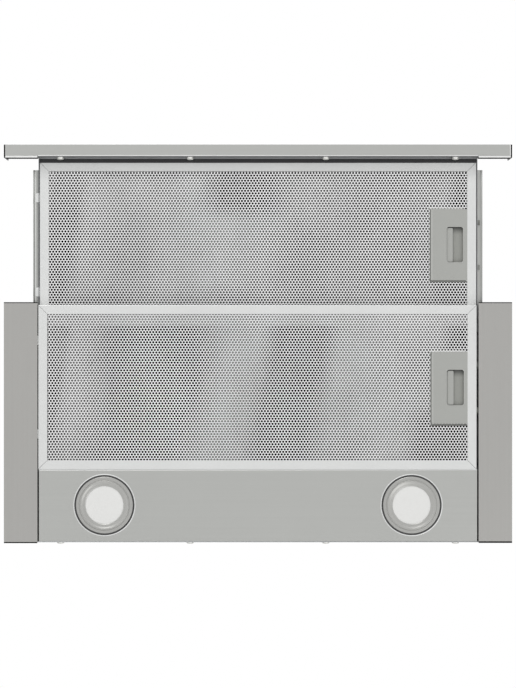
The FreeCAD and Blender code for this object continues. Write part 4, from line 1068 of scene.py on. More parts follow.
@dataclass(frozen=True)
class Finishes:
    """All the finishes of the hood, by the part that they are for."""

    panel: Material = built(BrushedSheet("lamp_panel_steel", tone(186, 187, 184), Grain.ALONG_X))
    strip: Material = built(BrushedSheet("side_strip_steel", tone(177, 176, 173), Grain.ALONG_Y))
    trim: Material = built(BrushedSheet("trim_steel", tone(185, 186, 183), Grain.ALONG_X))
    band: Material = built(RolledAluminium("filter_band_aluminium", tone(222, 223, 222)))
    punched: Material = built(PunchedSheet("punched_aluminium", tone(252), tone(234)))
    galvanised: Material = built(Galvanised("galvanised_sheet", tone(176, 178, 180)))
    drawer: Material = built(Galvanised("drawer_sheet", tone(150, 151, 152), 0.05))
    rail: Material = built(RolledRail("rail_zinc", tone(216, 217, 214), tone(96, 97, 95)))
    bearing: Material = built(PlatedSteel("bearing_steel", tone(196, 198, 202), 0.16, 0.03))
    screw: Material = built(PlatedSteel("screw_zinc", tone(240, 240, 236), 0.34))
    latch: Material = built(MouldedPlastic("latch_grey_plastic", tone(163, 164, 160)))
    black: Material = built(MouldedPlastic("housing_black_plastic", tone(38, 38, 40), 0.5))
    cap: Material = built(MouldedPlastic("trim_grey_plastic", tone(56, 56, 56), 0.42))
    legend: Material = built(MouldedPlastic("legend_white_ink", tone(232), 0.5, 0.01))
    motor: Material = built(PlatedSteel("motor_steel", tone(120, 122, 126), 0.42, 0.14))
    can: Material = built(
        MouldedPlastic("capacitor_white_plastic", tone(218, 218, 212), 0.36, 0.01, coat=0.2)
    )
    bezel: Material = built(RolledAluminium("lamp_bezel_satin", tone(176, 176, 173), 0.3, 0.04))
    sink: Material = built(RolledAluminium("heat_sink_aluminium", tone(168, 170, 172), 0.4))
    lens: Material = built(FrostedLens("lamp_frosted_lens", tone(216, 216, 214), 0.07))
    # Bright steel: painted highlight on the folds under the front strip.
    edge: Material = built(PlatedSteel("fold_painted_highlight", tone(240, 240, 239), 0.3, 0.03))
    rail_right: Material = built(
        RolledRail(
            "rail_zinc_right",
            tone(216, 217, 214),
            tone(96, 97, 95),
            track=(262.9, 266.2),
            root=261.0,
            depth=0.5,
            shade=0.3,
        )
    )
    # Near-black for strips and walls that stand for shade: painted shade.
    shade_black: Material = built(MouldedPlastic("painted_shade_black", tone(8), 0.8, gloss=0.06))
    # Lighter grey: painted highlight on the latch's edge and window lip.
    latch_edge_highlight: Material = built(MouldedPlastic("latch_edge_painted_highlight", tone(172, 173, 169)))
    # Dark grey: painted shadow beside and behind the latch.
    latch_shadow: Material = built(MouldedPlastic("latch_seat_painted_shadow", tone(104, 105, 102), 0.6))


# ---------------------------------------------------------------- grease filters


@dataclass
class GreaseFilter:
    """One grease filter: channel frame, punched sheet, mesh layers and latch. Lengths in millimetres."""

    name: str
    body: str
    latch_body: str
    y_front: float
    z_bottom: float
    half_width: float = 258.0
    depth: float = 194.0
    height: float = 9.0
    band: float = 10.7
    skin: float = 0.8
    mitre_gap: float = 0.22
    shift: float = 0.0
    reach: float = 0.0
    edge: float = 0.4
    tab_spacing: float = 110.6
    tab_width: float = 10.6
    tab_reach: float = 4.7
    tab_corner: float = 1.6
    cell: Span = (3.6, 3.0)
    hole_radius: float = 1.5
    sheet: float = 0.3
    sheet_hidden: float = 3.2
    mesh_inset: float = 1.3
    wave_height: float = 1.5
    pleats: int = 50
    pleat_height: float = 3.4
    upper_sheet: float = 0.6
    latch_x: Span = (204.2, 246.7)
    latch_depth: float = 84.7
    latch_overlap: float = 2.7
    latch_clearance: float = 2.5
    seat_x: Span = (243.6, 247.4)
    rim_offset: Span = (0.1, 2.3)
    window_x: Span = (222.2, 242.4)
    window_depth: float = 42.6
    window_corner: float = 3.0
    lip: float = 0.9
    finger_tab: Span = (223.2, 230.3)
    finger_corner: float = 1.4
    latch_shift: float = 0.0
    latch_travel: float = 6.0
    shadow_offset: Span = (-1.3, 0.1)
    shadow_end: float = 246.0
    shadow_y: Span = (41.1, 43.6)
    front_bar_shade: float = 0.0
    zones: tuple[ShadeZone, ...] = ()
    pale: float = 0.0

    @property
    def y_rear(self) -> float:
        """The rear edge's Y."""
        return self.y_front + self.depth

    @property
    def y_middle(self) -> float:
        """The middle's Y, where the latch is."""
        return self.y_front + self.depth / 2

    @property
    def z_upper(self) -> float:
        """The lower face of the upper sheet."""
        return self.z_bottom + self.height - self.skin - self.upper_sheet

    def build(self, finishes: Finishes) -> None:
        """Build and dress the whole filter."""
        frame_piece = stood(self.channel_frame(), (self.shift, 0.0, 0.0))
        with editing(frame_piece, "VERT"):
            bpy.ops.mesh.select_all(action="SELECT")
            stretch = (1.0, (self.depth + self.reach) / self.depth, 1.0)
            bpy.ops.transform.resize(value=stretch, center_override=metres(0.0, self.y_rear, 0.0))
        band = finishes.band
        # The front filter's front bar is darkened with painted shade.
        if self.front_bar_shade:
            band = RolledAluminium(
                self.name + "_band_aluminium",
                tone(222, 223, 222),
                shade_from_y=self.y_front + self.band - self.reach,
                darkened=self.front_bar_shade,
            ).build()
        fit(frame_piece, self.body, band, [self.name + "_filter_frame"])
        self.punched_sheets(finishes)
        # The mesh layers' black openings and dark zones are painted shade.
        paint = ExpandedMesh(
            self.name + "_expanded_mesh",
            tone(148),
            tone(0),
            self.y_middle,
            self.zones,
            self.pale,
            z_upper=self.z_upper,
        ).build()
        fit(self.mesh_layers(), self.body, paint, [self.name + "_filter_mesh_pack"])
        self.latch(finishes)

    def bar(self, name: str, half: float, y_edge: float) -> Piece:
        """Model one mitred channel bar along X whose outer wall is towards -Y.

        Args:
            name: The bar's name.
            half: Half its outer length.
            y_edge: The Y of its outer wall.

        Returns:
            The bar.
        """
        z = (self.z_bottom, self.z_bottom + self.height)
        bar = block(name, (-half, half), (y_edge, y_edge + self.band), z)
        corner = half - self.mitre_gap
        for side in (-1, 1):
            with editing(bar, "FACE"):
                bpy.ops.mesh.select_all(action="SELECT")
                bpy.ops.mesh.bisect(
                    plane_co=metres(side * corner, y_edge, self.z_bottom),
                    plane_no=(side * 1.0, 1.0, 0.0),
                    use_fill=True,
                    clear_outer=True,
                )
        with editing(bar, "FACE"):
            pick_faces(bar, lambda middle, normal: normal.y > 0.9)
            bpy.ops.mesh.inset(thickness=self.skin * MM, depth=0.0)
            bpy.ops.mesh.extrude_region_move(
                TRANSFORM_OT_translate={"value": (0.0, -(self.band - self.skin) * MM, 0.0)}
            )
        outer = y_edge * MM

        def is_outer(start: Vector, end: Vector) -> bool:
            """Pass a level edge of the outer wall."""
            return max(abs(start.y - outer), abs(end.y - outer), abs(start.z - end.z)) < TINY

        round_edges(bar, self.edge, is_outer)
        return bar

    def channel_frame(self) -> Piece:
        """Model the frame from two bar shapes, with its two hinge tabs.

        Returns:
            The frame.
        """
        front = self.bar("front_bar", self.half_width, self.y_front)
        side = self.bar("side_bar", self.depth / 2, -self.half_width)
        left = copied(side, "left_bar")
        middle = (0.0, self.y_middle, 0.0)
        pieces = [
            front,
            stood(copied(front, "rear_bar"), (0.0, 2 * self.y_middle, 0.0), (0.0, 0.0, 180.0)),
            stood(side, middle, (0.0, 0.0, 90.0)),
            stood(left, middle, (0.0, 0.0, -90.0)),
        ]
        z_tab = self.z_bottom + self.skin
        x_tab = (-self.half_width - self.tab_reach, -self.half_width + 0.2)
        tip = x_tab[0] * MM + 1e-5
        for number in (-1, 1):
            y = self.y_middle + number * self.tab_spacing / 2
            y_tab = (y - self.tab_width / 2, y + self.tab_width / 2)
            tab = block("hinge_tab", x_tab, y_tab, (z_tab, z_tab + 1.0))
            round_edges(tab, self.tab_corner, lambda a, b: max(a.x, b.x) < tip and upright(a, b), 3)
            pieces.append(tab)
        return joined(self.name + "_filter_channel", pieces)

    def hole_cell(self) -> Piece:
        """Model the repeating piece of the punched sheet: two staggered cells, each round one hole.

        Returns:
            The flat pair of cells, at the origin.
        """
        put_down()
        radius = self.hole_radius
        bpy.ops.mesh.primitive_circle_add(vertices=6, radius=radius * MM, fill_type="NOTHING")
        cell = just_added("hole_cell")
        half_x, half_y = self.cell[0] / 2, self.cell[1] / 2
        stretch = (half_x / (radius * math.cos(math.radians(30))), half_y / (radius * 0.5), 1.0)
        with editing(cell, "VERT"):
            bpy.ops.mesh.select_all(action="SELECT")
            bpy.ops.mesh.extrude_region_move(TRANSFORM_OT_translate={"value": (0.0, 0.0, 0.0)})
            bpy.ops.transform.resize(value=stretch, center_override=(0.0, 0.0, 0.0))
            pick_vertices(cell, lambda place: abs(place.x) < 1e-7 and abs(place.y) > half_y * 1.5 * MM)
            bpy.ops.transform.resize(value=(1.0, 0.5, 1.0), center_override=(0.0, 0.0, 0.0))
            bpy.ops.mesh.select_all(action="SELECT")
            shift = metres(half_x, self.cell[1], 0.0)
            bpy.ops.mesh.duplicate_move(TRANSFORM_OT_translate={"value": shift})
            bpy.ops.mesh.select_all(action="SELECT")
            bpy.ops.mesh.remove_doubles(threshold=WELD * MM)
            bpy.ops.mesh.normals_make_consistent(inside=False)
        return cell

    def punched_sheets(self, finishes: Finishes) -> None:
        """Model the punched lower sheet from copies of one cell, in a left and a right half."""
        reach = self.band - self.sheet_hidden
        width = 2 * (self.half_width - reach)
        columns = int(width / self.cell[0] / 2)
        rows = int((self.depth - 2 * reach) / (2 * self.cell[1]))
        cell = self.hole_cell()
        y_start = self.y_middle - rows * self.cell[1] + self.cell[1] / 2
        half = block_of_cells(cell, columns, rows, self.cell)
        x_start = -columns * self.cell[0] + self.cell[0] / 4
        z_sheet = self.z_bottom + self.skin
        left = copied(half, self.name + "_punched_left", (x_start, y_start, z_sheet))
        right = copied(half, self.name + "_punched_right", (self.cell[0] / 4, y_start, z_sheet))
        bpy.data.objects.remove(half)
        bpy.data.objects.remove(cell)
        clear_latch(right, *self.latch_area(-self.latch_overlap), math.inf)
        for sheet in (left, right):
            thickness = self.sheet * MM
            apply_modifier(sheet, "SOLIDIFY", thickness=thickness, offset=1.0, use_even_offset=False)
        fit(left, self.body, finishes.punched, [self.name + "_filter_lower_mesh"])
        fit(right, self.body, finishes.punched)

    def latch_area(self, margin: float) -> tuple[float, Span]:
        """Return the lowest X and the Y span of the latch housing, made larger by a margin."""
        half = self.latch_depth / 2 + margin
        return self.latch_x[0] - margin, (self.y_middle - half, self.y_middle + half)

    def from_latch(self, offset: Span) -> Span:
        """Return an X span counted from the housing's left edge."""
        return self.latch_x[0] + offset[0], self.latch_x[0] + offset[1]

    def mesh_layers(self) -> Piece:
        """Model the loose mesh layer behind the sheet, the pleats and the upper sheet.

        Returns:
            The joined layers.
        """
        width = 2 * (self.half_width - self.mesh_inset)
        depth = self.depth - 2 * self.mesh_inset
        z_low = self.z_bottom + self.skin + 0.6
        loose = grid("loose_mesh", 120, 48, (0.0, self.y_middle, z_low + 0.35), (width, depth))
        clouds = bpy.data.textures.new(self.name + "_waves", "CLOUDS")
        clouds.noise_scale = 0.045
        clouds.noise_depth = 1
        apply_modifier(
            loose,
            "DISPLACE",
            texture=clouds,
            strength=self.wave_height * MM,
            mid_level=0.2,
            texture_coords="LOCAL",
            direction="Z",
        )
        apply_modifier(loose, "SOLIDIFY", thickness=0.15 * MM, offset=1.0)
        pleat = grid("pleated_mesh", self.pleats, 1, (0.0, self.y_middle, z_low + 2.2), (width, depth))
        step = width / self.pleats
        with editing(pleat, "VERT"):
            pick_vertices(pleat, lambda place: round((place.x / MM + width / 2) / step) % 2 == 1)
            bpy.ops.transform.translate(value=metres(0.0, 0.0, self.pleat_height))
        apply_modifier(pleat, "SOLIDIFY", thickness=0.3 * MM, offset=1.0)
        top = self.z_upper
        y_span = (self.y_middle - depth / 2, self.y_middle + depth / 2)
        upper = block("upper_sheet", (-width / 2, width / 2), y_span, (top, top + self.upper_sheet))
        layer = joined(self.name + "_mesh_layers", [loose, pleat, upper])
        clear_latch(layer, *self.latch_area(self.latch_clearance), top - 0.05)
        return layer

    def latch(self, finishes: Finishes) -> None:
        """Dress the latch: housing, its seat and edge, the lip of its window, slider and pad; the edge
        and the lip are lighter as painted highlight, and the slider darker, partly as painted shade.
        """
        latch = self.name + "_latch"
        z_face = self.z_bottom + 0.2
        _, y = self.latch_area(0.0)
        y_window = self.y_middle + self.latch_shift - self.window_depth / 2
        # The slider's grey, darker than the housing's, also stands for the recess's shade; the darker
        # tone is the painted shadow.
        out_of_shadow, painted_shadow = tone(146, 147, 142), tone(86, 87, 84)
        recess = RecessPlastic(latch + "_recess", out_of_shadow, painted_shadow, y_window).build()
        case = softened(latch + "_case", latch + "_housing", 0.3)
        plate = softened(latch + "_plate", latch + "_slider", 0.35)
        seat = bar_of(latch + "_seat", self.seat_x, y, (z_face + 0.03, z_face + 1.1), 0.25)
        x_rim, y_rim = self.from_latch(self.rim_offset), (y[0] + 0.5, y[1] - 0.5)
        rim = bar_of(latch + "_edge", x_rim, y_rim, (z_face - 0.05, z_face + 0.4), 0.1)
        # The edge and the window lip take the lighter grey of painted highlight.
        for piece, body, finish, nodes in (
            (case, self.body, finishes.latch, [latch + "_housing"]),
            (seat, self.body, finishes.latch, []),
            (rim, self.body, finishes.latch_edge_highlight, []),
            (self.window_lip(z_face), self.body, finishes.latch_edge_highlight, []),
            (plate, self.latch_body, recess, [latch + "_slider"]),
            (self.finger_pad(), self.latch_body, finishes.latch, []),
        ):
            fit(stood(piece, (0.0, self.latch_shift, 0.0)), body, finish, nodes)
        self.seat_shadow(finishes, z_face)
        self.spring(finishes)

    def spring(self, finishes: Finishes) -> None:
        """Dress the return spring with a smoothed copy of its CAD node, with a mesh of its own."""
        node = self.name + "_latch_spring"
        coil = softened(self.name + "_return_spring", node, 0.0, degrees=50.0)
        fit(coil, self.body, finishes.bearing, [node])
        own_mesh(coil)

    def seat_shadow(self, finishes: Finishes, z_face: float) -> None:
        """Model dark strips of painted shadow beside and behind the latch, along the sheet's edge.

        Args:
            finishes: The hood's finishes.
            z_face: The Z of the housing's outer face.
        """
        y = (self.y_middle + self.shadow_y[0], self.y_middle + self.shadow_y[1])
        front = self.y_middle + self.latch_shift - self.latch_depth / 2
        top = z_face + 0.7
        side_x = self.from_latch(self.shadow_offset)
        side = bar_of("seat_shadow_side", side_x, (front, y[1]), (z_face + 0.15, top), 0.15)
        rear_x = (self.latch_x[0], self.shadow_end)
        rear = bar_of("seat_shadow_rear", rear_x, y, (z_face - 0.04, top), 0.15)
        shadows = joined(self.name + "_latch_seat_shadow", [side, rear])
        fit(shadows, self.body, finishes.latch_shadow)

    def finger_pad(self) -> Piece:
        """Model the smooth pad on the slider's finger tab, with a rounded edge to the recess.

        Returns:
            The pad.
        """
        half = self.window_depth / 2 - 1.3
        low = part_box(self.name + "_latch_slider")[0].z / MM
        y = (self.y_middle - half, self.y_middle + half)
        pad = block(self.name + "_finger_pad", self.finger_tab, y, (low - 0.12, low + 0.6))
        round_edges(pad, self.finger_corner, upright, 4)
        return smooth(pad, 40)

    def window_lip(self, z_face: float) -> Piece:
        """Model the thin raised lip round the finger window.

        Args:
            z_face: The Z of the housing's outer face.

        Returns:
            The lip.
        """
        y = (self.y_middle - self.window_depth / 2, self.y_middle + self.window_depth / 2 - 0.6)
        x = self.window_x
        lip_x = (x[0] - self.lip, x[1] + self.lip)
        lip_y = (y[0] - self.lip, y[1] + self.lip)
        outer = block(self.name + "_window_lip", lip_x, lip_y, (z_face - 0.18, z_face + 0.3))
        round_edges(outer, self.window_corner + self.lip, upright, 6)
        inner = block("window_opening", x, y, (z_face - 2, z_face + 2))
        round_edges(inner, self.window_corner, upright, 6)
        cut_away(outer, inner)
        return smooth(outer, 40)


def clear_latch(piece: Piece, x_low: float, y: Span, z_high: float) -> None:
    """Delete the faces of a filter's layer that lie in the latch's place.

    Args:
        piece: The layer.
        x_low: The lowest X to clear, in millimetres; everything beyond it goes.
        y: Lowest and highest Y to clear.
        z_high: The highest Z to clear.
    """
    with editing(piece, "FACE"):
        pick_faces(
            piece,
            lambda middle, normal: middle.x > x_low * MM
            and y[0] * MM < middle.y < y[1] * MM
            and middle.z < z_high * MM,
        )
        bpy.ops.mesh.delete(type="FACE")


def block_of_cells(cell: Piece, columns: int, rows: int, pitch: Span) -> Piece:
    """Repeat the pair of cells over a sheet.

    Args:
        cell: The flat pair of cells.
        columns: Copies along X.
        rows: Copies along Y, of two rows each.
        pitch: The cell's width and depth in millimetres.

    Returns:
        The flat sheet of cells.
    """
    sheet = copied(cell, "cell_sheet")
    plan = ((columns, (pitch[0] * MM, 0.0, 0.0)), (rows, (0.0, 2 * pitch[1] * MM, 0.0)))
    for count, offset in plan:
        apply_modifier(
            sheet,
            "ARRAY",
            count=count,
            use_relative_offset=False,
            use_constant_offset=True,
            constant_offset_displace=offset,
            use_merge_vertices=True,
            merge_threshold=5 * WELD * MM,
        )
    return sheet


# ---------------------------------------------------------------- screws


@dataclass
class Fasteners:
    """Pan-head screws with a cross recess. Lengths in millimetres."""

    xs: tuple[float, ...] = (-232.9, -80.0, 80.0, 232.9)
    shank: float = 1.9
    length: float = 8.0
    head: float = 4.5
    recess_width: float = 0.9
    recess_reach: float = 2.2
    recess_depth: float = 1.3
    rear_head: float = 2.4
    rear_seat: Span = (232.8, 9.0)
    trim_head: float = 3.4
    trim_z: float = 8.0

    def screw(self, name: str, height: float) -> Piece:
        """Model one screw that points along +Y from its seat at the origin.

        Args:
            name: The screw's name.
            height: The head's height.

        Returns:
            The screw.
        """
        crown = [(1.0, 0.42), (0.97, 0.58), (0.88, 0.76), (0.72, 0.9), (0.5, 0.98), (0.2, 1.0)]
        profile = [(self.shank, -self.length), (self.shank, 0.0), (self.head * 0.97, 0.0)]
        profile += [(self.head * across, height * up) for across, up in crown]
        piece = lathe(name, profile, 28, solid=True)
        depth = (height - self.recess_depth, height + 1.0)
        slot = (self.recess_width, self.recess_reach)
        for wide, tall in (slot, slot[::-1]):
            cut_away(piece, block("cross", (-wide, wide), (-tall, tall), depth))
        return stood(piece, (0.0, 0.0, 0.0), (-90.0, 0.0, 0.0))

    def row(self, name: str, height: float, y: float, z: float) -> Piece:
        """Model a row of screws from one.

        Args:
            name: The row's name.
            height: The head's height.
            y: The Y of the seats.
            z: The Z of the screws.

        Returns:
            The row.
        """
        first = self.screw("one_screw", height)
        return smooth(repeated(first, name, [(x, y, z) for x in self.xs]), 32)

    def build(self, finishes: Finishes) -> None:
        """Build both rows of screws."""
        rear = self.row("rear_pan_screws", self.rear_head, *self.rear_seat)
        fit(rear, "casing", finishes.screw, ["rear_screws"])
        low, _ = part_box("trim_screws")
        trim = self.row("trim_pan_screws", self.trim_head, low.y / MM + self.length, self.trim_z)
        fit(trim, "drawer", finishes.screw, ["trim_screws"])


# ---------------------------------------------------------------- lamps


@dataclass
class Lamps:
    """The lamp panel with its two recessed lamps. Lengths in millimetres."""

    half_spacing: float = 180.8
    y: float = 189.1
    panel_face: float = 2.0
    fold_half: float = 258.2
    fold_y: Span = (147.0, 148.5)
    fold_z: Span = (3.0, 3.6)
    sides: int = 96
    rim: tuple[Span, ...] = ((33.3, 0.1), (33.5, -0.15), (33.3, -0.4), (32.8, -0.6), (31.6, -0.35))
    bead: tuple[Span, ...] = ((30.0, -0.6), (29.8, -0.05), (28.9, -0.05), (28.7, -1.3), (28.3, -1.5))
    dish: tuple[Span, ...] = ((27.4, -1.3), (26.2, -0.7), (24.2, -0.35), (22.9, -0.25), (22.5, 0.0))
    lens_seat: tuple[Span, ...] = ((22.5, 0.8), (24.2, 0.8), (24.2, 6.0), (28.6, 6.0), (28.6, 0.1))
    # A dark ring in the gap round each bezel, standing for the gap's shade: painted shade.
    shadow_ring: tuple[Span, ...] = ((33.3, 0.02), (33.3, -0.16), (35.3, -0.16), (35.4, 0.02))
    # A pressed lip round each hole, in the brighter aluminium as painted highlight.
    hole_edge: tuple[Span, ...] = ((35.4, 0.02), (35.45, -0.16), (36.2, -0.12), (36.6, 0.02))
    lens_edge: tuple[Span, ...] = ((24.0, 3.0), (24.0, 0.8), (22.6, 0.75))
    lens_dome: tuple[Span, ...] = ((18.0, 0.5), (10.0, 0.3), (3.0, 0.24))

    def build(self, finishes: Finishes) -> None:
        """Build the panel, its front fold and both lamps, whose sections count from the panel's face."""
        fold_x = (-self.fold_half, self.fold_half)
        # The panel's front fold is in the brighter aluminium as painted highlight.
        fold = bar_of("panel_front_fold", fold_x, self.fold_y, self.fold_z, 0.1)
        fit(fold, "casing", finishes.band)
        stand_in("lamp_panel_sheet", "lamp_panel", "casing", finishes.panel, 0.25)
        bezel = self.rim + self.bead + self.dish + self.lens_seat
        places = [(side * self.half_spacing, self.y, 0.0) for side in (-1, 1)]
        lens = self.lens_edge + self.lens_dome
        for name, section, nodes, slot, finish in (
            ("lamp_rings", bezel, ["lamp_bezels"], "lamp_metal", finishes.bezel),
            ("lamp_shadow_rings", self.shadow_ring, [], "black_plastic", finishes.cap),
            ("lamp_hole_edges", self.hole_edge, [], "stainless", finishes.band),
            ("lamp_covers", lens, ["lamp_lenses"], "lamp_glass", finishes.lens),
        ):
            profile = raised(section, self.panel_face)
            first = smooth(lathe("one_lamp", profile, self.sides, solid=section is lens), 50)
            fit(repeated(first, name, places), "casing", finish, nodes)
        dress(finishes.sink, "lamp_heat_sinks")
        stand_in("lamp_driver_case", "led_driver", "casing", finishes.black, 0.6)


# ---------------------------------------------------------------- trim and switch


@dataclass
class FrontTrim:
    """The front strip, its end caps and the push buttons. Lengths in millimetres."""

    button_xs: tuple[float, ...] = (169.0, 188.0, 207.0, 226.0, 245.0)
    button_names: tuple[str, ...] = ("light", "off", "low", "medium", "high")
    legends: tuple[str, ...] = ("", "0", "1", "2", "3")
    level: float = 29.0
    legend_height: float = 5.0
    front: float = -235.2
    rear: float = -222.25
    back: float = -219.2
    fold_half: float = 258.6
    fold_z: Span = (-0.05, 0.28)
    end_fold_x: Span = (296.4, 297.4)
    wall_x: Span = (259.6, 297.3)
    wall_height: float = 13.0
    tip_x: Span = (297.45, 298.98)
    tip_z: Span = (-0.06, 0.3)
    # A black strip of painted shade in the gap between the trim and the front filter.
    shade_strip_half: float = 258.3
    shade_strip_y: Span = (-219.3, -214.5)
    shade_strip_z: float = 12.95

    def legend(self, text: str, x: float, y_face: float) -> Piece:
        """Model one printed mark, a digit or the plain lamp ring, just proud of a button's face.

        Args:
            text: The digit, or nothing for the lamp mark.
            x: The button's X.
            y_face: The Y of its face.

        Returns:
            The mark.
        """
        put_down()
        if text:
            bpy.ops.object.text_add()
            mark = bpy.context.active_object
            mark.data.body = text
            mark.data.size = self.legend_height * 1.35 * MM
            mark.data.align_x = "CENTER"
            mark.data.align_y = "CENTER"
            mark.data.extrude = 0.05 * MM
            bpy.ops.object.convert(target="MESH")
        else:
            mark = lathe("lamp_mark", [(2.2, -0.05), (1.7, -0.05), (1.7, 0.05), (2.2, 0.05)], 32)
        mark.name = "button_mark"
        return stood(mark, (x, y_face - 0.02, self.level), (90.0, 0.0, 0.0))

    def folds(self, finishes: Finishes) -> None:
        """Model the folds under the strip, bright as painted highlight, its end walls and tips, black as
        painted shade, and a black strip of painted shade in the gap behind it.
        """
        full = (-self.fold_half, self.fold_half)
        bright = [
            bar_of("fold", full, (self.rear - 0.35, self.rear + 0.4), self.fold_z, 0.05),
            bar_of("fold", self.end_fold_x, (self.front + 0.4, self.rear), self.fold_z, 0.05),
        ]
        walls = []
        for side in (-1, 1):
            across, tip = (tuple(side * x for x in span) for span in (self.wall_x, self.tip_x))
            wall_y = (self.back - 0.6, self.back - 0.05)
            bright.append(bar_of("fold", across, (self.rear + 0.35, wall_y[0]), self.fold_z, 0.05))
            walls.append(bar_of("tip", tip, (self.front + 0.1, self.rear + 1.2), self.tip_z, 0.04))
            walls.append(bar_of("wall", across, wall_y, (0.1, self.wall_height), 0.1))
        fit(joined("strip_folds", bright), "drawer", finishes.edge)
        # The end walls and tips are black as painted shade.
        fit(joined("strip_end_walls", walls), "drawer", finishes.shade_black)
        # Painted shade: a black strip in the gap between the trim and the front filter.
        shade_strip_x = (-self.shade_strip_half, self.shade_strip_half)
        ridge_y = (self.shade_strip_y[0] + 2.0, self.shade_strip_y[0] + 2.6)
        shade_strip = bar_of("drawer_front_shade_strip", shade_strip_x, self.shade_strip_y, (self.shade_strip_z - 0.4, self.shade_strip_z), 0.1)
        ridge = bar_of("shade_strip_ridge", shade_strip_x, ridge_y, (self.shade_strip_z - 0.7, self.shade_strip_z), 0.1)
        shade_strip = joined("drawer_front_shade_strip", [shade_strip, ridge])
        fit(shade_strip, "drawer", finishes.black)

    def build(self, finishes: Finishes) -> None:
        """Build the trim, its caps and the buttons."""
        stand_in("front_strip", "front_trim", "drawer", finishes.trim, 0.35)
        stand_in("front_strip_ends", "trim_end_caps", "drawer", finishes.cap, 0.3)
        self.folds(finishes)
        stand_in("switch_frame", "switch_bezel", "drawer", finishes.cap, 0.3)
        dress(finishes.black, "switch_block")
        for name, x, text in zip(self.button_names, self.button_xs, self.legends):
            node = "button_" + name
            stand_in("push_" + name, node, node, finishes.black, 0.45, 3)
            low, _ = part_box(node)
            mark = self.legend(text, x, low.y / MM)
            mark.name = "mark_" + name
            fit(mark, node, finishes.legend)


# ---------------------------------------------------------------- casing


